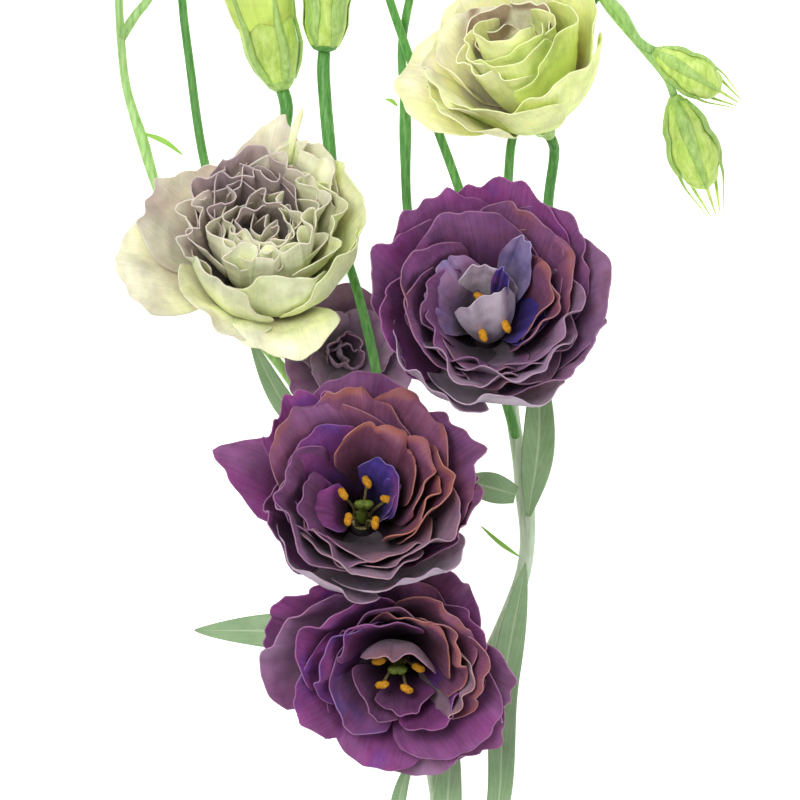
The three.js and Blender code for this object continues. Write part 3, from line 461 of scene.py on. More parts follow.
def petal_points(petal, seed):
    a1, a2, a3, a4, a5, a6 = np.random.default_rng(seed).uniform(0, 2 * np.pi, 6)
    across, along = grid_places(PETAL_COLUMNS, PETAL_ROWS)
    # the rows crowd together towards the rim, where the folds are fine
    along = 1 - (1 - along) ** 1.5
    beside = np.abs(across)
    # t is how far along the petal each point lies, and makes its outline: a round or pointed tip
    # with small nibbles in it
    nibble = 0.022 * np.sin(7.3 * across + a1) + 0.016 * np.sin(17 * across + a2)
    nibble = 1 + petal["ragged"] * nibble
    nibble = 1 + (nibble - 1) * smooth_step(0.5, 1, along)
    point = petal["point"] * np.maximum(0, 1 - beside) ** 1.5
    t = along * nibble * (1 - petal["shoulder"] * beside**2.6 + point)
    lean = petal["lean"]
    # the rim rolls outwards, more in some places than in others
    roll = petal["roll"] * (0.6 + 0.4 * np.sin(3.4 * across + a6))
    roll = roll + petal["wander"] * np.sin(5.2 * across + a1)

    def lean_at(s):
        plain = lean[0] * (1 - s) * (1 - 2 * s) + lean[1] * 4 * s * (1 - s) + lean[2] * s * (2 * s - 1)
        bent = petal["curl"] * smooth_step(0.7, 1.0, s)
        return np.radians(plain - bent - roll * smooth_step(0.9, 1.0, s))

    # the midline is followed in short steps from the root
    radius = np.full_like(t, petal["root"])
    height = np.full_like(t, petal["lift"])
    for k in range(PROFILE_STEPS):
        angle = lean_at(t * (k + 0.5) / PROFILE_STEPS)
        radius += np.cos(angle) * petal["length"] * t / PROFILE_STEPS
        height += np.sin(angle) * petal["length"] * t / PROFILE_STEPS
    grown = np.maximum(0, t)
    fan = np.sin(np.pi / 2 * np.minimum(1, grown / FAN_REACH)) ** 1.5
    half_width = petal["width"] / 2 * (CLAW_SHARE + (1 - CLAW_SHARE) * fan)
    bend = np.maximum(radius, 4) * petal["wrap"]
    # the large waves of the model, then frills near the rim, pleats and shallow crumples; swing
    # goes off the surface and sway goes sideways in it
    edge = grown**3 * (0.5 + 0.5 * beside**2)
    fold = np.pi * petal["waves"] * across + petal["phase"]
    swing = petal["ruffle"] * edge * (np.sin(fold) + 0.35 * np.sin(2.3 * fold + 1))
    sway = -0.35 * petal["ruffle"] * edge * np.sin(2 * fold)
    frill = petal["frill"]
    near_rim = smooth_step(0.45, 1, t) ** 1.6
    warped = across + 0.12 * np.sin(3.1 * across + a3)
    swing += frill * near_rim * (np.sin(9.5 * warped + a4) + 0.5 * np.sin(16 * warped + a5))
    sway += -0.45 * frill * near_rim * np.sin(19 * warped + 2 * a4)
    swing += petal["pleat"] * np.sin(6.5 * across + a6) * smooth_step(0.15, 0.8, t)
    wide, tall = across * petal["width"] / 2, t * petal["length"]
    crumple = np.sin(0.62 * wide + 0.4 * tall + a2) * np.sin(0.71 * tall - 0.25 * wide + a3)
    crumple += 0.6 * np.sin(1.3 * wide - 0.5 * tall + a4) * np.sin(0.9 * tall + 0.8 * wide + a5)
    swing += petal["crumple"] * crumple * smooth_step(0.3, 0.75, t)
    # the petal wraps round the flower's axis, with one side further out than the other
    beta = (across * half_width + sway) / bend
    slope = lean_at(np.minimum(1, t))
    spiral = 1 + SKEW * across * np.minimum(1, grown / 0.35)
    outward = radius * spiral - bend * (1 - np.cos(beta)) - swing * np.sin(slope)
    aside = bend * np.sin(beta)
    up = height + swing * np.cos(slope)
    turn = math.radians(petal["azimuth"])
    x = outward * math.cos(turn) - aside * math.sin(turn)
    y = outward * math.sin(turn) + aside * math.cos(turn)
    return np.stack([x, y, up], axis=1)


# %% [markdown]
# Each flower has its own frame: z is the way the flower faces, and y is the way up the stem. The
# petals of one layer share a few values, such as how far they wrap round the axis and how deep
# their folds are.


# %% Flower frame and layers of petals
def flower_frame(root, face):
    z = unit(face)
    up = np.array([0, 0, -np.sign(z[1])]) if abs(z[1]) > 0.9 else np.array([0.0, 1.0, 0.0])
    x = np.cross(up, z)
    x /= np.linalg.norm(x)
    return np.array([x, np.cross(z, x), z]), np.array(root, float)


def place_points(points, placing):
    axes, root = placing
    return np.asarray(points) @ axes + root


OUTER = dict(root=3.6, lift=-0.7, wrap=1.12, ruffle=1.2, waves=1.6)
INNER = dict(root=3.4, lift=0.4, wrap=0.98, ruffle=3.1, waves=1.75)
CUPPED = dict(root=3.6, lift=-0.7, wrap=0.96, ruffle=2.6, waves=1.9, shoulder=0.4, ragged=1.2)
FILL = dict(root=3.2, lift=0.7, wrap=0.95, ruffle=2.3, waves=1.8)
TONGUE = dict(root=2.6, lift=1.4, wrap=1.5, ruffle=0.7, waves=1.2, shoulder=0.3)
FOLDS = dict(root=3.1, lift=0.8, wrap=0.92, ruffle=4.8, waves=2.6)


def layer(like, petals):
    made = []
    for k, (azimuth, length, width, low, middle, high, tone, *look) in enumerate(petals):
        one = dict(azimuth=azimuth, length=length, width=width, lean=(low, middle, high), tone=tone)
        made.append({**PLAIN_PETAL, **like, **one, "phase": 1.7 * k, **(look[0] if look else {})})
    return made


# %% [markdown]
# The petals of each bloom, from the outside in. Each line gives the way the petal points (0 is to
# the right, 90 up the stem), its length and width in millimetres, its three leans in degrees, its
# tone on the colour ramp, and what its look adds, such as its curl and its frills.

# %% Petals of the centre bloom
centre_petals = layer(OUTER, [
    (84, 44, 44, 8, 56, 44, 0.45, dict(curl=8, pleat=0.9)),
    (161, 38, 28, 10, 46, 18, 0.38, dict(ruffle=0.6, waves=1, point=0.3)),
    (15, 44, 42, 8, 57, 48, 0.6, dict(ragged=1.6, frill=0.8)),
    (124, 43, 32, 10, 54, 44, 0.3, dict(ragged=1.8, frill=1.2)),
    (200, 41, 30, 8, 56, 66, 0.45, dict(frill=0.9)),
    (345, 43, 34, 8, 56, 60, 0.6, dict(frill=0.9, ragged=1.4)),
# the pale share of the cupped petals is partly painted light, lifting inner faces that lie in shade
]) + layer(CUPPED, [
    (236, 46, 44, 2, 54, 82, 0.45, dict(pale=0.45)),
    (300, 47, 46, 2, 54, 80, 0.48, dict(pale=0.6)),
]) + layer(INNER, [
    (130, 42, 38, 24, 62, 50, 0.66, dict(curl=20, roll=50)),
    (215, 42, 38, 22, 62, 64, 0.48, dict(pale=0.12, ruffle=2.6)),
    (320, 43, 38, 22, 62, 66, 0.7, dict(pale=0.25, ruffle=2.6)),
    (52, 42, 36, 20, 60, 48, 0.8, dict(roll=120, curl=16)),
    (96, 42, 32, 22, 62, 48, 0.7, dict(roll=90, ruffle=3)),
    (180, 40, 30, 28, 66, 62, 0.5, dict(roll=20)),
    (265, 42, 40, 24, 62, 58, 0.6, dict(pale=0.32)),
    (0, 41, 32, 28, 68, 66, 0.9, dict(ruffle=3.4)),
]) + layer(FILL, [
    (138, 35, 38, 36, 64, 44, 0.22, dict(ruffle=0.8)),
    (66, 37, 32, 40, 76, 70, 0.9, dict(roll=120, ruffle=3)),
    (245, 36, 32, 32, 64, 58, 0.64, dict(pale=0.15)),
    (22, 38, 28, 36, 72, 70, 0.85, dict(roll=80, ruffle=3.2)),
    (292, 36, 34, 32, 64, 58, 0.74, dict(pale=0.18)),
    (345, 37, 26, 36, 70, 68, 0.95, dict(ruffle=3)),
    (202, 35, 26, 38, 68, 60, 0.4),
]) + layer(TONGUE, [
    (176, 27, 15, 44, 50, 6, 0.22),
    (186, 22, 15, 60, 64, 16, 0.26),
    (38, 27, 20, 60, 78, 70, 0.0),
    (15, 24, 10, 60, 78, 66, 0.04),
    (350, 18, 5, 66, 76, 70, 0.12, dict(root=3.4, ruffle=0.2)),
])

# %% Petals of the right bloom
right_petals = layer(OUTER, [
    (76, 46, 44, 8, 56, 45, 0.36, dict(ragged=1.2, frill=0.7)),
    (115, 45, 38, 8, 56, 46, 0.38, dict(ragged=1.2)),
    (152, 44, 40, 8, 56, 46, 0.45, dict(ragged=1.2, frill=0.8)),
    (190, 43, 36, 8, 58, 60, 0.35, dict(frill=0.9)),
    (325, 45, 40, 6, 56, 62, 0.4, dict(pale=0.15, frill=0.8, ragged=1.4)),
    (4, 45, 46, 8, 56, 42, 0.4, dict(ruffle=0.8, pale=0.12)),
    (40, 44, 38, 8, 57, 47, 0.42, dict(frill=0.9)),
# the pale share of the cupped petals is partly painted light, lifting inner faces that lie in shade
]) + layer(CUPPED, [
    (226, 46, 46, 2, 54, 84, 0.45, dict(pale=0.5)),
    (278, 47, 46, 2, 54, 82, 0.48, dict(pale=0.65)),
]) + layer(INNER, [
    (108, 41, 42, 26, 64, 54, 0.5, dict(pleat=1.3)),
    (62, 42, 38, 24, 64, 52, 0.62),
    (28, 41, 34, 26, 64, 58, 0.68, dict(roll=60, ruffle=2.4)),
    (160, 41, 32, 26, 66, 60, 0.55, dict(ruffle=2.4)),
    (205, 41, 38, 24, 66, 64, 0.5, dict(ruffle=2)),
    (340, 42, 36, 24, 66, 64, 0.55, dict(pale=0.2, ruffle=2.8)),
    (250, 42, 38, 22, 64, 64, 0.54, dict(pale=0.35)),
    (300, 43, 40, 22, 64, 62, 0.52, dict(pale=0.4)),
]) + layer(FILL, [
    (262, 34, 30, 38, 64, 58, 0.6, dict(pale=0.1)),
    (292, 36, 36, 34, 56, 36, 0.62, dict(pale=0.22)),
    (322, 37, 30, 34, 60, 44, 0.56, dict(pale=0.22)),
    (352, 36, 26, 36, 70, 66, 0.74, dict(ruffle=2.8)),
    (18, 36, 26, 38, 72, 70, 0.74, dict(roll=40)),
    (178, 35, 24, 40, 70, 64, 0.5),
    (224, 36, 28, 36, 68, 62, 0.45, dict(ruffle=2.6)),
]) + layer(TONGUE, [
    (134, 31, 17, 52, 70, 34, 0.12, dict(pale=0.3, ruffle=1.4)),
    (174, 29, 15, 52, 66, 24, 0.1, dict(pale=0.25, ruffle=1.4)),
    (95, 28, 19, 56, 76, 80, 0.6, dict(pale=0.95, wrap=2)),
    (56, 38, 12, 50, 70, 60, 0.1, dict(pale=0.35)),
    (64, 31, 6, 68, 80, 76, 0.12),
    (0, 30, 20, 50, 62, 40, 0.06),
    (345, 27, 12, 52, 64, 50, 0.1),
    (290, 27, 20, 70, 102, 126, 0.5, dict(pale=1.0, pleat=0.9, ruffle=1.6, wrap=3)),
])

# %% Petals of the lower bloom
lower_petals = layer(OUTER, [
    (281, 33, 48, 6, 36, 20, 0.34, dict(ruffle=0.8, pale=0.2, pleat=1.0)),
    (340, 36, 32, 8, 44, 34, 0.4, dict(pale=0.08, frill=1.1, ragged=1.3)),
    (166, 43, 38, 8, 44, 38, 0.32, dict(pale=0.18, frill=0.7, pleat=0.8)),
    (198, 34, 30, 8, 46, 42, 0.32, dict(pale=0.18, frill=0.7, ragged=1.2)),
    (228, 29, 30, 8, 44, 40, 0.34, dict(pale=0.16, pleat=0.8)),
    (14, 32, 34, 10, 52, 44, 0.5, dict(frill=1.1, ragged=1.4)),
    (318, 37, 34, 8, 42, 30, 0.34, dict(pale=0.1, frill=1.0, ragged=1.3)),
    (150, 41, 30, 8, 36, 24, 0.3, dict(frill=0.9, ragged=1.2)),
    (60, 34, 34, 8, 36, 26, 0.5, dict(frill=0.9, ragged=1.2)),
    (98, 30, 36, 8, 40, 30, 0.5, dict(frill=0.9, ruffle=2)),
]) + layer(INNER, [
    (250, 32, 38, 20, 44, 26, 0.32, dict(ruffle=1.4)),
    (322, 37, 38, 22, 50, 38, 0.36, dict(ruffle=2)),
    (146, 38, 38, 18, 54, 50, 0.24),
    (96, 32, 38, 26, 62, 64, 0.55, dict(ruffle=2.4)),
    (42, 35, 36, 24, 58, 56, 0.72, dict(roll=60, ruffle=2.6)),
    (4, 36, 30, 26, 58, 56, 0.8, dict(roll=30, ruffle=3)),
    (192, 36, 34, 20, 50, 40, 0.26, dict(ruffle=1.6)),
]) + layer(FILL, [
    (64, 32, 32, 36, 64, 66, 0.85, dict(roll=50, ruffle=2.8)),
    (28, 34, 28, 36, 62, 76, 0.8, dict(roll=60, ruffle=3)),
    (352, 34, 28, 34, 60, 80, 0.86, dict(pale=0.3, ruffle=2.8)),
    (318, 31, 24, 36, 62, 84, 0.28, dict(roll=30)),
    (164, 33, 30, 34, 58, 60, 0.2),
    (204, 29, 36, 34, 54, 78, 0.17, dict(pale=0.08, ruffle=1.2)),
    (118, 32, 30, 38, 64, 66, 0.3, dict(ruffle=2)),
]) + layer(TONGUE, [
    (84, 29, 26, 54, 80, 96, 0.72, dict(pale=0.12, ruffle=2.2)),
    (4, 27, 16, 40, 48, 20, 0.18),
    (232, 25, 22, 36, 66, 96, 0.5, dict(ruffle=1.6)),
    (285, 24, 18, 40, 70, 96, 0.42, dict(ruffle=1.4)),
])

# %% Petals of the pale bloom
pale_petals = layer(OUTER, [
    (190, 45, 34, 8, 40, 22, 0.6, dict(ruffle=2.4, waves=1.2)),
    (156, 40, 36, 10, 48, 36, 0.34, dict(ragged=1.4, frill=0.7)),
    (80, 37, 28, 10, 52, 40, 0.36, dict(point=0.2)),
    (64, 37, 18, 12, 56, 44, 0.4, dict(ruffle=2)),
    (18, 43, 40, 10, 60, 62, 0.98, dict(ruffle=2.2)),
    (238, 39, 34, 8, 52, 44, 0.7, dict(ruffle=2.4)),
    (280, 41, 36, 6, 48, 30, 0.85, dict(curl=40)),
    (55, 42, 28, 12, 60, 54, 0.5, dict(ruffle=2.4)),
    (72, 36, 6, 22, 60, 54, 1.0, dict(point=0.4)),
]) + layer({**CUPPED, "wrap": 0.92, "ragged": 0.5}, [
    (234, 43, 38, 2, 66, 96, 0.7),
    (284, 44, 42, 0, 70, 110, 0.85),
    (336, 45, 42, 0, 60, 104, 0.95),
]) + layer({**FOLDS, "root": 3.4, "lift": 0.4}, [
    (50, 41, 32, 24, 64, 60, 0.6),
    (132, 37, 34, 26, 68, 66, 0.06, dict(ruffle=3.6)),
    (4, 41, 34, 22, 68, 82, 0.9),
    (96, 39, 34, 28, 68, 60, 0.12, dict(ruffle=3.6)),
    (178, 38, 30, 24, 66, 68, 0.35),
]) + layer(FOLDS, [
    (168, 37, 32, 34, 70, 74, 0.25),
    (114, 36, 34, 38, 74, 74, 0.05, dict(ruffle=4)),
    (70, 38, 32, 34, 70, 68, 0.3),
    (24, 38, 32, 34, 72, 80, 0.6),
    (208, 37, 30, 34, 76, 94, 0.5),
    (252, 39, 32, 28, 80, 108, 0.6),
    (300, 39, 34, 28, 80, 110, 0.7),
    (342, 39, 32, 30, 78, 100, 0.7),
    (140, 35, 26, 42, 78, 84, 0.0),
    (90, 36, 28, 42, 76, 78, 0.1),
]) + layer({**FOLDS, "root": 2.8, "ruffle": 3.4, "waves": 1.8}, [
    (190, 35, 24, 46, 82, 100, 0.3),
    (240, 36, 26, 44, 84, 106, 0.5),
    (290, 36, 28, 44, 84, 108, 0.6),
    (335, 34, 24, 50, 86, 100, 0.6),
    (30, 35, 22, 48, 84, 96, 0.5),
    (75, 34, 20, 52, 86, 92, 0.2),
    (150, 33, 20, 56, 88, 96, 0.1),
    (255, 31, 18, 66, 92, 100, 0.3, dict(root=1.6)),
    (20, 30, 16, 66, 90, 96, 0.3, dict(root=1.4)),
])

# %% Petals of the upper bloom
upper_petals = layer(OUTER, [
    (190, 40, 44, 8, 50, 28, 0.26, dict(frill=0.5, curl=16)),
    (268, 39, 42, 8, 62, 60, 0.55, dict(frill=0.5, wander=26)),
    (330, 40, 44, 8, 62, 62, 0.6, dict(frill=0.5)),
    (50, 40, 44, 8, 60, 56, 0.5, dict(frill=0.6)),
    (122, 39, 42, 8, 58, 52, 0.3, dict(frill=0.6)),
    (228, 38, 36, 10, 58, 50, 0.32, dict(frill=0.8)),
]) + layer(INNER, [
    (206, 38, 36, 24, 62, 54, 0.2, dict(frill=0.9, ruffle=2.6, crumple=0.2)),
    (115, 38, 40, 26, 66, 64, 0.3),
    (0, 38, 42, 26, 72, 76, 0.8),
    (290, 37, 40, 40, 78, 84, 0.6, dict(wander=14)),
    (244, 35, 38, 40, 76, 74, 0.28, dict(frill=0.9, ruffle=2.2)),
    (165, 36, 34, 30, 68, 66, 0.16, dict(roll=30)),
]) + layer(FILL, [
    (262, 39, 40, 56, 86, 94, 0.45, dict(ruffle=0.8, wander=12)),
    (320, 36, 34, 48, 82, 90, 0.6, dict(ruffle=0.9)),
    (215, 35, 30, 48, 80, 82, 0.24),
    (20, 34, 30, 46, 78, 80, 0.5),
    (70, 33, 30, 44, 76, 78, -0.1),
    (130, 33, 30, 44, 76, 78, -0.2),
    (165, 30, 26, 54, 84, 88, -0.2),
])

# %% Petals of the bloom behind the others
hidden_petals = layer(OUTER, [
    (20, 20, 26, 0, 22, 12, 0.46, dict(pale=0.3)),
    (140, 19, 26, 0, 22, 14, 0.46, dict(pale=0.2)),
    (260, 20, 26, 0, 22, 12, 0.48, dict(pale=0.2)),
]) + layer({**INNER, "lift": 1.2, "pale": 0.25}, [
    (80, 18, 26, 16, 30, 20, 0.42),
    (200, 17, 24, 16, 30, 20, 0.46),
    (320, 18, 26, 16, 30, 20, 0.44, dict(pale=0.3)),
]) + layer({**TONGUE, "root": 1.4, "ruffle": 1.6}, [
    (50, 15, 16, 34, 40, 30, 0.44, dict(pale=0.3)),
    (110, 14, 16, 30, 44, 36, 0.46, dict(pale=0.35)),
    (170, 14, 16, 34, 40, 30, 0.46, dict(pale=0.3)),
    (230, 15, 16, 30, 44, 36, 0.5, dict(pale=0.35)),
    (290, 14, 16, 34, 40, 30, 0.5, dict(pale=0.4)),
    (350, 15, 16, 30, 44, 36, 0.5, dict(pale=0.4)),
]) + layer({**TONGUE, "root": 0.4, "pale": 0.4}, [
    (20, 11, 14, 46, 62, 112, 0.4, dict(pale=0.25)),
    (140, 11, 14, 46, 62, 112, 0.42, dict(pale=0.25)),
    (260, 11, 14, 46, 62, 112, 0.5, dict(pale=0.3)),
    (80, 9, 11, 60, 80, 126, 0.45),
    (200, 9, 11, 60, 80, 126, 0.5),
])

# %% [markdown]
# Each bloom has its place and the way it faces, the turn and reach of its stamens, and the length,
# leans and turn of its sepals. The pale bloom and the one behind keep their hearts closed.

# %% The blooms
BLOOMS = {
    "centre": dict(
        root=(-22.5, 81, 36), face=(0.05, 0.36, 0.93), skin="purple",
        stamens=(10, 6.5), pistil=True, sepals=(17, (5, 45), 20),
        petals=centre_petals),
    "right": dict(
        root=(13, 134, 39), face=(0, 0.33, 0.94), skin="purple",
        stamens=(40, 6), pistil=True, sepals=(16, (5, 45), 54),
        petals=right_petals),
    "lower": dict(
        root=(-12, 44, 24), face=(-0.02, -0.26, 0.96), skin="purple",
        stamens=(80, 6), pistil=True, sepals=(13, (5, 40), 38),
        petals=lower_petals),
    "pale": dict(
        root=(-51, 152, 30), face=(0.04, 0.42, 0.9), skin="pale",
        stamens=None, pistil=False, sepals=(14, (5, 50), 54),
        petals=pale_petals),
    "upper": dict(
        root=(28, 199, 20), face=(-0.3, 0.62, 0.72), skin="green",
        stamens=(0, 5), pistil=False, sepals=(16, (20, 50), 0),
        petals=upper_petals),
    "hidden": dict(
        root=(-28, 128, 15.5), face=(0.12, 0.2, 0.97), skin="purple",
        stamens=None, pistil=False, sepals=(9, (0, 10), 90),
        petals=hidden_petals),
}
for bloom in BLOOMS.values():
    bloom["placing"] = flower_frame(bloom["root"], bloom["face"])
print({name: len(bloom["petals"]) for name, bloom in BLOOMS.items()})

# %% [markdown]
# The petals of a bloom are fused to a small plate, as in the model, and become one piece.

# %% Make the petals
PLATE_PROFILE = [(0.05, -2), (3.8, -2), (5.4, 0), (4.6, 2), (0.05, 2)]


def lathe_rings(profile, sides, steps=1):
    turn = circle(sides)
    profile = np.asarray(profile, float)
    if steps > 1:
        at = np.linspace(0, len(profile) - 1, (len(profile) - 1) * steps + 1)
        profile = np.stack([np.interp(at, np.arange(len(profile)), profile[:, k]) for k in (0, 1)], 1)
    radius, height = profile[:, :1], np.repeat(profile[:, 1:], sides, axis=1)
    return np.stack([radius * np.cos(turn), radius * np.sin(turn), height], axis=2)


def give_tone(piece, tone, pale=0.0):
    for name, value in (("petal_tone", tone), ("petal_pale", pale)):
        values = piece.data.attributes.new(name, "FLOAT", "POINT")
        values.data.foreach_set("value", np.full(len(piece.data.vertices), value, np.float32))


for name, bloom in BLOOMS.items():
    placing = bloom["placing"]
    skins = SKINS[bloom["skin"]]
    tone_draw = np.random.default_rng(len(bloom["petals"]))
    plate = add_loft(f"plate_{name}", lathe_rings(PLATE_PROFILE, 24), skins[1], placing)
    give_tone(plate, 0.5)
    # the plate takes the inner face's claw colour all over, painted shade at the bottom of the bloom's
    # heart
    corners = plate.data.uv_layers["UVMap"].data
    corners.foreach_set("uv", np.zeros(2 * len(corners), np.float32))
    parts = [plate]
    for k, petal in enumerate(bloom["petals"]):
        points = place_points(petal_points(petal, 11 + 7 * k), placing)
        piece = add_grid(f"{name}_petal_{k}", PETAL_COLUMNS, PETAL_ROWS, points)
        thicken(piece, PETAL_SKIN_THICKNESS, skins)
        tone = float(np.clip(petal["tone"] + tone_draw.uniform(-0.05, 0.05), 0, 1))
        give_tone(piece, tone, petal["pale"])
        parts.append(piece)
    whole = join_pieces(f"petals_{name}", parts[1:] + parts[:1])
    stand_for(whole, f"bloom_{name}_petals")
    print(whole.name, len(whole.data.polygons), "faces")

# %% [markdown]
# Under each bloom and bud sits the calyx: a small green cup and five narrow sepals, keeled along
# the back. The cup is turned like wood on a lathe, and each sepal is lofted from lens-shaped
# rings that shrink to a point.

# %% Calyx
CALYX_LENGTH = 9
CALYX_RADIUS = 4.6
PLATE_HALF_HEIGHT = 2
PEDICEL_RADIUS = 1.5
FIT_GAP = 0.3
BUD_UNIT_RADIUS = 8
HUGGED_SHARE = 0.75
FREE_SEPAL_STEPS, FREE_SEPAL_HALF_WIDTH = 20, 1.9
HELD_SEPAL_STEPS = 34
LIME_TIP_SHARE = 0.78
LIME_CUP_SHARE = 0.37
# how wide a calyx cup is, how slowly it widens, how broad the sepals are, and the cup's skin
COMMON_FORM = (1, 0.9, 3, sepal_skin)
BUD_FORMS = {
    "half_open": (1.3, 0.62, 0.2, sepal_skin),
    "upright": (1.5, 0.4, 1.7, slim_skin),
    "nodding_upper": (1.3, 0.8, 1.1, sepal_skin),
    "nodding_lower": (1.3, 0.8, 1.1, sepal_skin),
}


def bud_swell(t, opening, cup_width=1):
    """a bud's radius at the share t of its length, as a share of its widest"""
    at = np.clip((6 * t + 0.35) / 6.05, 0.02, 0.999)
    swell = np.maximum(0.12 * (1 - t) ** 0.3, np.sin(np.pi * at**0.85) ** 0.75)
    # the more a bud has opened, the wider it is near its tip
    swell = swell + (0.35 + 0.75 * t - swell) * opening
    if opening > 0.5:
        swell = 0.5 + 0.5 * (1 - (1 - np.minimum(t, 1)) ** 2.5) ** 0.8
    swell = swell * np.minimum(1, 0.85 + 2 * t)
    if cup_width > 1:
        # the foot of the bud fills a wide calyx cup
        swell = np.maximum(swell, 0.575 * cup_width * (t < 0.4))
    return swell


def cup_radius(share, width, slowness):
    """the radius of a calyx cup at a share of its height"""
    return PEDICEL_RADIUS * 1.1 + (CALYX_RADIUS * width - PEDICEL_RADIUS * 1.1) * share**slowness


def sepal_ring(azimuth, sides, wide, thick, radius, height, angle):
    """a lens-shaped ring of a sepal, keeled on its back"""
    turn, section = math.radians(azimuth), circle(sides)
    thick = thick * min(1, wide)
    across = wide * np.cos(section) / max(radius, 1.6)
    back = -thick * 0.5 * (1 - np.sin(section)) * (1 - 0.6 * np.abs(np.cos(section)))
    out = radius - back * math.sin(angle)
    up = height + back * math.cos(angle)
    return np.stack([out * np.cos(turn + across), out * np.sin(turn + across), up], axis=1)


def sepal_rings(azimuth, length, lean):
    """rings of one sepal that leans out freely from the cup under a bloom"""
    radius, height = CALYX_RADIUS - 1, -PLATE_HALF_HEIGHT - 1.2
    rings = []
    for t in np.arange(FREE_SEPAL_STEPS + 1) / FREE_SEPAL_STEPS:
        angle = math.radians(lean[0] + (lean[1] - lean[0]) * min(1, t * 1.5))
        wide = max(FREE_SEPAL_HALF_WIDTH * (1 - t) ** 0.7, 0.06)
        rings.append(sepal_ring(azimuth, 12, wide, 1 - 0.4 * t, radius, height, angle))
        radius += math.cos(angle) * length / FREE_SEPAL_STEPS
        height += math.sin(angle) * length / FREE_SEPAL_STEPS
    return rings


def hugging_sepal_rings(azimuth, length, held, form):
    """rings of one sepal that grows out of the cup, lies on the bud and ends in a long free tip"""
    bud_length, opening = held
    cup_width, slowness, breadth, _ = form
    hug, lift = (1.06, 0.9) if cup_width == 1 else (0.99, 0.6)
    t = np.linspace(0, 1, HELD_SEPAL_STEPS + 1)
    start = -PLATE_HALF_HEIGHT - 0.8 * CALYX_LENGTH
    heights = np.linspace(start, start + length, HELD_SEPAL_STEPS + 1)
    up_the_cup = np.clip((heights + PLATE_HALF_HEIGHT + CALYX_LENGTH) / CALYX_LENGTH, 0, 1)
    cup = cup_radius(up_the_cup, cup_width, slowness)
    up_the_bud = (heights + PLATE_HALF_HEIGHT) / bud_length
    hugged = np.clip(up_the_bud, 0, HUGGED_SHARE)
    bud = BUD_UNIT_RADIUS * hug * np.array([bud_swell(s, opening, cup_width) for s in hugged])
    under = np.where(heights < -PLATE_HALF_HEIGHT, cup, np.maximum(cup, bud)) - 0.4
    under += lift * smooth_step(0, 0.14, t)
    radius = under * (1 - 0.62 * smooth_step(HUGGED_SHARE, 1.5, up_the_bud))
    broad = smooth_step(0, 0.2, t) * (1 - smooth_step(0.24, 0.76, t))
    wide = np.maximum(1.1 * (1 - t) ** 0.5 + breadth * broad, 0.05)
    places = zip(wide, radius, heights)
    return [sepal_ring(azimuth, 16, w, 0.9, r, height, np.pi / 2) for w, r, height in places]


def add_calyx(name, placing, sepals, scale=1.0, held=None, form=COMMON_FORM):
    length, lean, spin = sepals
    top = -PLATE_HALF_HEIGHT
    cup_width, slowness, _, skin = form
    profile = [(0.05, top - CALYX_LENGTH), (PEDICEL_RADIUS * 1.1, top - CALYX_LENGTH)]
    for share in (0.1, 0.25, 0.5, 0.75, 1):
        profile.append((cup_radius(share, cup_width, slowness), top - CALYX_LENGTH * (1 - share)))
    rim = FIT_GAP / scale if held else 0
    profile += [(profile[-1][0], top + rim), (0.05, top + rim)]
    shapes = [lathe_rings(profile, 30, 2)]
    for k in range(5):
        azimuth = spin + 72 * k
        if held:
            shapes.append(hugging_sepal_rings(azimuth, length / scale, held, form))
        else:
            shapes.append(sepal_rings(azimuth, length, lean))
    parts = []
    for k, rings in enumerate(shapes):
        rings = np.asarray(rings) * scale - np.array([0, 0, FIT_GAP])
        part = add_loft(f"{name}_{k}", rings, sepal_skin if k else skin, placing)
        # the tips of the sepals on a closed bud are lime green, and so is the top of a wide cup
        lime_tip, lime_cup = k and held and held[1] < 0.5, k == 0 and cup_width > 1
        if lime_tip or lime_cup:
            part.data.materials.append(bud_skin)
            count = len(part.data.polygons)
            lime = np.arange(count) > (LIME_TIP_SHARE if lime_tip else LIME_CUP_SHARE) * count
            part.data.polygons.foreach_set("material_index", lime.astype(np.int32))
        parts.append(part)
    return join_pieces(name, parts)


for name, bloom in BLOOMS.items():
    calyx = add_calyx(f"calyx_{name}", bloom["placing"], bloom["sepals"])
    stand_for(calyx, f"bloom_{name}_calyx")
print("calyxes under the blooms:", len(BLOOMS))

# %% [markdown]
# In the heart of an open bloom five anthers stand on bent filaments round the pistil, which ends
# in a green stigma of two lobes. The anthers are long twin sacks with loose pollen on them.

# %% Stamens and pistils
STAMEN_BASE = PLATE_HALF_HEIGHT + FIT_GAP


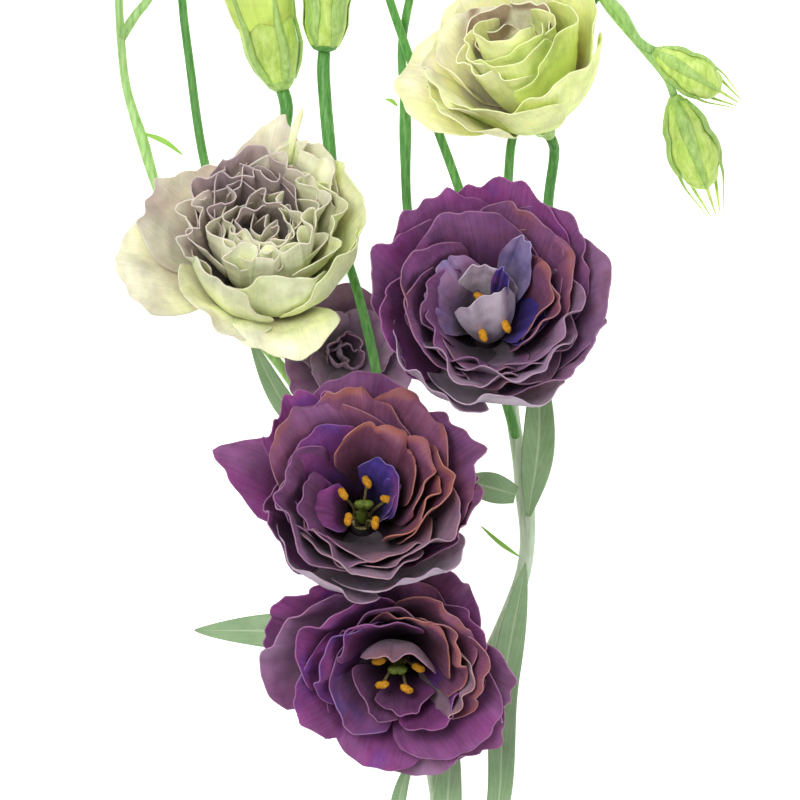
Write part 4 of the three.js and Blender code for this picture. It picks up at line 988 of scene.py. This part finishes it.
def add_stamens(name, placing, spin, reach):
    base, up, section = STAMEN_BASE, np.array([0, 0, 1.0]), circle(16)
    ring = [(2.1, base), (3, base), (3, base + 1), (2.1, base + 1), (2.1, base)]
    parts = [add_loft(f"{name}_ring", lathe_rings(ring, 30), filament_skin, placing)]
    for k in range(5):
        turn = math.radians(spin + 72 * k)
        out = np.array([math.cos(turn), math.sin(turn), 0])
        bends = ((2.55, 0.4), (2.85, 7), (reach, 14))
        route = [out * radius + up * (base + height) for radius, height in bends]
        rings = tube_rings(route, 12, 0.42, 8)
        parts.append(add_loft(f"{name}_filament_{k}", rings, filament_skin, placing))
        swing = turn + math.radians(35 * (1 if k % 2 else -1))
        along = np.array([math.cos(swing), math.sin(swing), 0])
        aside = np.array([-math.sin(swing), math.cos(swing), 0])
        centre = out * reach + up * (base + 14.6)
        rings = []
        for s in np.linspace(-1, 1, 12):
            lumps = 1 + 0.16 * np.cos(2 * section) + 0.09 * np.sin(3 * section + 6 * s + k)
            size = max((1 - abs(s) ** 2.6) ** 0.5, 0.05) * lumps
            curve = up * 0.35 * s * s
            rings.append(
                centre + along * 2.1 * s - curve
                + (size * np.cos(section) * 0.98)[:, None] * aside
                + (size * np.sin(section) * 0.98)[:, None] * up
            )
        parts.append(add_loft(f"{name}_anther_{k}", rings, pollen_skin, placing))
    return join_pieces(name, parts)


def add_pistil(name, placing):
    base, turn = STAMEN_BASE, circle(18)
    profile = [(0.05, base), (1.3, base), (1.9, base + 3), (1.2, base + 7), (0.6, base + 9),
               (0.55, base + 13), (0.05, base + 13)]
    parts = [add_loft(f"{name}_style", lathe_rings(profile, 20, 3), style_skin, placing)]
    for side in (-1, 1):
        rings = []
        for s in np.linspace(-1, 1, 12):
            size = max((1 - s**4) ** 0.5, 0.04) * (1 + 0.08 * np.sin(3 * turn + side))
            x, y = 1.1 * side + 1.6 * size * np.cos(turn), 1.2 * size * np.sin(turn)
            rings.append(np.stack([x, y, base + 13.4 + 2 * s * (1 - 0.1 * size)], axis=1))
        parts.append(add_loft(f"{name}_lobe_{side + 1}", rings, style_skin, placing))
    return join_pieces(name, parts)


for name, bloom in BLOOMS.items():
    if bloom["stamens"]:
        stamens = add_stamens(f"stamens_{name}", bloom["placing"], *bloom["stamens"])
        stand_for(stamens, f"bloom_{name}_stamens")
    if bloom["pistil"]:
        pistil = add_pistil(f"pistil_{name}", bloom["placing"])
        stand_for(pistil, f"bloom_{name}_pistil")

# %% [markdown]
# A closed bud is a cone of petals wound in a spiral, each over its neighbour's edge, so its
# surface has slanting steps. The steps come from a saw-tooth round the bud, which turns with the
# height. The half-open bud has a wide, rounded top, and pale outer petals cover its sides.

# %% Buds
BUD_LEVELS, BUD_SIDES = 40, 60
# each bud's name, where its stalk ends, the way it points, its length and radius in millimetres,
# how far it has opened, and its sepals' length, lean and turn
BUDS = [
    ("half_open", (-45.5, 205.3, 9.7), (-0.24, 0.96, 0.16), 38, 10.5, 0.9, (34, None, 7)),
    ("upright", (-33.4, 216, 13), (0.05, 0.99, 0.12), 29, 7, 0, (43, None, 18)),
    ("nodding_upper", (61.5, 216.5, 12), (0.84, -0.53, 0.14), 15, 6.6, 0.3, (28, None, 36)),
    ("nodding_lower", (67.3, 203.6, 9.9), (0.33, -0.94, 0), 19.5, 8, 0.25, (35, None, 20)),
    ("top_left", (-94, 250, 5.9), (-0.1, 0.99, 0.05), 16, 4.6, 0, None),
    ("top_side", (-84, 238, 7), (-0.08, 1, 0.05), 13, 3.8, 0, None),
    ("top_mid_left", (-74, 252, 6.2), (0.12, 0.99, 0), 15, 4.4, 0, None),
    ("top_centre", (-16.5, 244, 14), (0.02, 1, 0.1), 15, 4.2, 0, None),
    ("top_centre_right", (-6, 246, 6), (0.16, 0.98, 0), 14, 4, 0, None),
]


def bud_rings(length, radius, scale, opening, cup_width, low=0.0):
    base = -PLATE_HALF_HEIGHT * scale
    turn = circle(BUD_SIDES)
    rings = []
    for s in [0, 0.004] + [j / BUD_LEVELS for j in range(1, BUD_LEVELS + 1)]:
        t = low + (1 - low) * np.full(BUD_SIDES, s)
        swell = bud_swell(t, opening, cup_width)
        # four petals wind round the bud, and each edge stands up from the petal under it
        winding = 4 * (turn - 1.4 * t - 0.5 * t * t) / (2 * np.pi)
        step = winding - np.floor(winding)
        ridge = 0.93 + 0.13 * np.where(step < 0.86, step / 0.86, (1 - step) / 0.14)
        if cup_width > 1:
            ridge = 1 + (0.4 + 1.4 * smooth_step(0.5, 0.8, t)) * (ridge - 1) * smooth_step(0, 0.2, t)
        # the more the bud has opened, the rounder its top is
        if opening > 0.5:
            dome = np.maximum(1 - (np.maximum(t - 0.66, 0) / 0.34) ** 2, 0.0004) ** 0.5
        elif opening:
            dome = 1 - 0.35 * (np.maximum(t - 0.9, 0) / 0.1) ** 2
        else:
            dome = 1
        r = radius * swell * ridge * dome * np.clip((1 - t) * 14 + 0.02, 0.02, 1)
        rings.append(np.stack([r * np.cos(turn), r * np.sin(turn), base + length * t], 1))
    return rings


def cover_rings(length, radius, scale, opening, cup_width, spin):
    """the pale outer petals of an open bud, whose lower edge arches between the sepals"""
    low = 0.2 - 0.03 * np.cos(5 * (circle(BUD_SIDES) - math.radians(spin)))
    return bud_rings(length, radius * 1.04, scale, opening, cup_width, low)


for name, stalk, face, length, radius, opening, sepals in BUDS:
    scale = radius / BUD_UNIT_RADIUS
    reach = (PLATE_HALF_HEIGHT + CALYX_LENGTH) * scale + FIT_GAP
    face = unit(face)
    placing = flower_frame(np.array(stalk) + face * reach, face)
    sepals = sepals or (length * 1.5, None, 36)
    form = BUD_FORMS.get(name, COMMON_FORM)
    shape = (length, radius, scale, opening, form[0])
    bud = add_loft(f"bud_body_{name}", bud_rings(*shape), bud_skin, placing)
    if opening > 0.5:
        cover = cover_rings(*shape, sepals[2])
        cover = add_loft(f"bud_cover_{name}", cover, SKINS["green"][0], placing)
        give_tone(cover, 1)
        bud = join_pieces(f"bud_body_{name}", [bud, cover])
    stand_for(bud, f"bud_{name}")
    calyx = add_calyx(f"bud_calyx_{name}", placing, sepals, scale, (length / scale, opening), form)
    stand_for(calyx, f"bud_{name}_calyx")
print("buds:", len(BUDS))

# %% [markdown]
# Leaves are pointed ovals with a shallow fold along the midrib. They clasp the stem without a
# stalk. The same outline and midline as in the model are used, with a finer grid, a soft wave
# along the margin, and a thin Solidify.

# %% Leaves
LEAF_THICKNESS = 0.55
# how far the margins rise above the midrib, as a share of their distance from it
FOLD_DEPTH = 0.18
LEAVES = {
    "leaf_low_left": dict(
        route=[(-13.7, 41, 6), (-40, 48.5, 9), (-71, 49.5, 6)], width=11.5, up=(0, 0.25, 1)),
    "leaf_low_right": dict(
        route=[(3, -34, 5), (16, -4, 9), (18.3, 34, 11), (24.5, 69, 12)], width=8.5,
        up=(-0.3, 0, 1), widest=0.72, base=0.25, twist=30),
    "leaf_right_tall": dict(
        route=[(25.4, 82.5, 9.3), (28.5, 104, 8.5), (28.5, 130, 6)], width=9.5, up=(-0.2, 0, 1), base=0.16),
    "leaf_right_side": dict(
        route=[(21.6, 88.7, 8.4), (14, 91, 11), (6, 93, 9)], width=8.5, up=(0, 0.1, 1), base=0.6),
    "leaf_upper_left": dict(
        route=[(-33.6, 103, 8.4), (-45, 115, 12), (-55, 134, 12)], width=6.5),
    "leaf_base_front": dict(
        route=[(-1, -34, 7), (1.5, -6, 10), (4, 24, 10)], width=9, base=0.6),
    "leaf_base_left": dict(
        route=[(-3.5, -30, 6), (-12, -4, 7), (-8, 14, 6)], width=6, up=(-0.7, 0, 0.7)),
    "bract_left": dict(
        route=[(-85.6, 193, 7.6), (-79.6, 190.6, 9), (-74, 186.5, 8)], width=1.5),
    "bract_right": dict(
        route=[(22.6, 71, 8.6), (17, 75, 10), (11.6, 79.8, 9.5)], width=1.2),
    "bract_centre": dict(
        route=[(-12.4, 201, 5.4), (-14, 202.4, 6), (-16, 203, 6)], width=1.1),
}


def leaf_points(columns, rows, route, width, up=(0, 0, 1), widest=0.45, base=0.35, twist=0):
    across, along = grid_places(columns, rows)
    centre = curve_point(route, along)
    ahead, behind = (curve_point(route, np.clip(along + step, 0, 1)) for step in (1e-3, -1e-3))
    forward = ahead - behind
    forward /= np.linalg.norm(forward, axis=1)[:, None]
    sideways = np.cross(forward, unit(up))
    sideways /= np.linalg.norm(sideways, axis=1)[:, None]
    if twist:
        for i in range(len(across)):
            turn = Matrix.Rotation(math.radians(twist) * along[i], 3, Vector(forward[i]))
            sideways[i] = turn @ Vector(sideways[i])
    normal = np.cross(sideways, forward)
    rise = np.sin(np.pi / 2 * np.minimum(along / widest, 1))
    fall = np.cos(np.pi / 2 * np.clip((along - widest) / (1 - widest), 0, 1)).clip(0) ** 0.8
    outline = np.where(along < widest, base + (1 - base) * rise, 0.03 + 0.97 * fall)
    aside = across * (width / 2) * outline
    wave = 0.02 * width * np.abs(across) ** 2 * np.sin(13 * along + 2 * across) * np.sin(np.pi * along)
    return centre + sideways * aside[:, None] + normal * (FOLD_DEPTH * np.abs(aside) + wave)[:, None]


for name, leaf in LEAVES.items():
    columns, rows = (14, 44) if leaf["width"] > 5 else (6, 16)
    piece = add_grid(f"{name}_blade", columns, rows, leaf_points(columns, rows, **leaf))
    faces = (lime_blade, lime_blade) if name.startswith("bract") else (leaf_upper, leaf_under)
    thicken(piece, LEAF_THICKNESS, faces)
    stand_for(join_pieces(f"{name}_blade", [piece]), name)
print("leaves and bracts:", len(LEAVES))

# %% [markdown]
# The stem branches as a lisianthus does: from each fork one shoot ends in a bloom while the side
# shoots grow on. Every stretch is a round tube along its own smooth curve, and the stretches run
# into one another at the forks.

# %% Stem
STALK_LEAD = 5
STALK_GAP = 0.05
# a stalk swells by this share of its radius, over about this many millimetres
SWELL_SHARE, SWELL_REACH = 0.35, 9


def stalk_end(at, face):
    axis = unit(face)
    touch = np.array(at, float) - axis * STALK_GAP
    return [touch - axis * STALK_LEAD, touch]


def bloom_stalk_end(name):
    bloom = BLOOMS[name]
    axis = unit(bloom["face"])
    return stalk_end(np.array(bloom["root"]) - axis * (PLATE_HALF_HEIGHT + CALYX_LENGTH + FIT_GAP), axis)


def bud_stalk_end(name):
    stalk, face = next((bud[1], bud[2]) for bud in BUDS if bud[0] == name)
    return stalk_end(stalk, face)


LOWEST, LEFT, UPPER_LEFT = (-2.3, 17.4, 2.9), (-28, 96, 6), (-37.5, 121, 6.5)
RIGHT, NODDING = (19.7, 127.6, 6), (46, 233.5, 8)
# each kind of stretch has its radius at the start and at the end, and its skin
MAIN, BRANCH, STALK = (3.4, 2.89, stem_skin), (2.52, 1.89, stem_skin), (1.5, 1.5, slim_skin)
SLIM, FRESH = (1.5, 1.2, slim_skin), (1.5, 1.2, fresh_skin)
# each stretch has its kind and its route, and then the shares of it at which it swells, if any
STEMS = [
    (MAIN, [(0, -100, 3.05), (-1.5, -50, 2.83), (0, 0, 2.62), (-0.9, 7, 2.59), LOWEST]),
    (BRANCH, [LOWEST, (-10.2, 40.6, 4), (-18.9, 69.6, 5), LEFT, UPPER_LEFT]),
    (BRANCH, [LOWEST, (8.7, 31.9, 4), (18.9, 52.2, 5), (24.7, 69.6, 6), (24.4, 89.9, 6), (21.2, 110, 5.5),
              RIGHT], 0.68),
    (STALK, [(-2, 24, 3.6), (-9, 38, 5)] + bloom_stalk_end("lower")),
    (STALK, [(-18.9, 69.6, 5), (-21.5, 71, 12)] + bloom_stalk_end("centre")),
    (STALK, [(22.5, 103, 5.6), (18.5, 117, 10)] + bloom_stalk_end("right")),
    (STALK, [(-33, 108, 6), (-33.5, 116, 3.4), (-31.5, 121.5, 2.6), (-29.5, 126.6, 2.6)]),
    (STALK, [UPPER_LEFT, (-45, 134, 7)] + bloom_stalk_end("pale")),
    (STALK, [RIGHT, (29.5, 158, 7), (31.5, 176, 6)] + bloom_stalk_end("upper")),
    (FRESH, [LEFT, (-45.5, 125, 6), (-57, 138, 6), (-72.5, 156.6, 6), (-81.2, 175.5, 6), (-86.1, 191.4, 7),
             (-90.5, 205.9, 7), (-92.2, 220.4, 7), (-92.8, 232, 7)] + bud_stalk_end("top_left"), 0.65),
    (FRESH, [(-92.2, 220.4, 7), (-88, 227, 7)] + bud_stalk_end("top_side")),
    (SLIM, [UPPER_LEFT, (-45, 133.4, 5.5), (-59.5, 159.5, 5), (-67.6, 182.7, 6), (-72.5, 214.6, 7),
            (-74.5, 232, 7)] + bud_stalk_end("top_mid_left")),
    (SLIM, [UPPER_LEFT, (-41, 140, 7), (-45, 160, 7.5), (-46.5, 180, 7)] + bud_stalk_end("half_open"),
     0.93, 1),
    (SLIM, [(-18.9, 74, 5), (-17.5, 90, 12), (-16.5, 110, 28), (-18.9, 127, 32), (-23.2, 145, 30),
            (-29, 165, 22), (-32, 190, 14)] + bud_stalk_end("upright"), 0.8, 0.87, 0.94, 1),
    (SLIM, [RIGHT, (19.7, 179.8, 4.5), (21.8, 195, 4.5), (33, 215, 4.5), NODDING]),
    (FRESH, [NODDING, (52, 228, 10)] + bud_stalk_end("nodding_upper")),
    (FRESH, [NODDING, (49, 229, 8), (60.9, 214.6, 9)] + bud_stalk_end("nodding_lower")),
    (SLIM, [(20.5, 119, 6), (8, 128, 4), (-5, 150, 4), (-9.3, 169.7, 4), (-10.2, 201, 4), (-11, 219, 4)]
     + bud_stalk_end("top_centre_right"), 0.62),
    (SLIM, [RIGHT, (15, 148, 6), (10, 162, 7), (4.9, 178.4, 8), (-2.3, 198, 9), (-9.3, 216, 9)]
     + bud_stalk_end("top_centre")),
]

stretches = []
for k, ((start_radius, end_radius, skin), route, *swellings) in enumerate(STEMS):
    _, run = even_points(route, 3)
    count = max(6, round(run / 2.5))
    t = np.linspace(0, 1, count)
    radius = start_radius + (end_radius - start_radius) * t
    swell = np.zeros(count)
    for at in swellings:
        swell = swell + SWELL_SHARE * np.exp(-(((t - at) * run / SWELL_REACH) ** 2))
    radius = radius * (1 + swell)
    rings = tube_rings(route, count, radius, 18)
    rings[:, :, 2] = np.maximum(rings[:, :, 2], 0)
    stretches.append(add_loft(f"stretch_{k}", rings, skin))
stem = join_pieces("branching_stem", stretches)
stand_for(stem, "stem")
print("stem faces:", len(stem.data.polygons))

# %% [markdown]
# The spray lies on a plain, nearly white table. The light is soft and comes from all round, with a
# large panel nearly overhead, a little to the left, and a weaker one at the right, so the folds
# keep their shade and the table shows hardly any shadow.

# %% Table and light
bpy.ops.mesh.primitive_plane_add(size=6, location=(0, 0, -0.0004))
table = bpy.context.object
table.name = "plain_table"
bpy.ops.object.transform_apply(location=True, rotation=False, scale=False)
table_paint, add = new_material("matt_white_table")
white = {"Base Color": linear("#fbfbfb"), "Roughness": 0.9, "Emission Strength": 0.76,
         "Emission Color": linear("#ffffff")}
add("OutputMaterial", {"Surface": add("BsdfPrincipled", values=white)})
table.data.materials.append(table_paint)

world = bpy.data.worlds.new("soft_room")
bpy.context.scene.world = world
world.use_nodes = True
world.node_tree.nodes["Background"].inputs[0].default_value = linear("#fdfdff")
world.node_tree.nodes["Background"].inputs[1].default_value = 0.5


def add_panel(name, place, size, power):
    bpy.ops.object.light_add(type="AREA", location=place)
    panel = bpy.context.object
    panel.name = name
    panel.data.size = size
    panel.data.energy = power
    aim = Vector((-0.01, 0.12, 0.02)) - Vector(place)
    panel.rotation_euler = aim.to_track_quat("-Z", "Y").to_euler()


add_panel("panel_overhead", (-0.4, 0.45, 1.25), 0.6, 10.5)
add_panel("panel_right", (0.9, -0.1, 1.0), 0.8, 3)
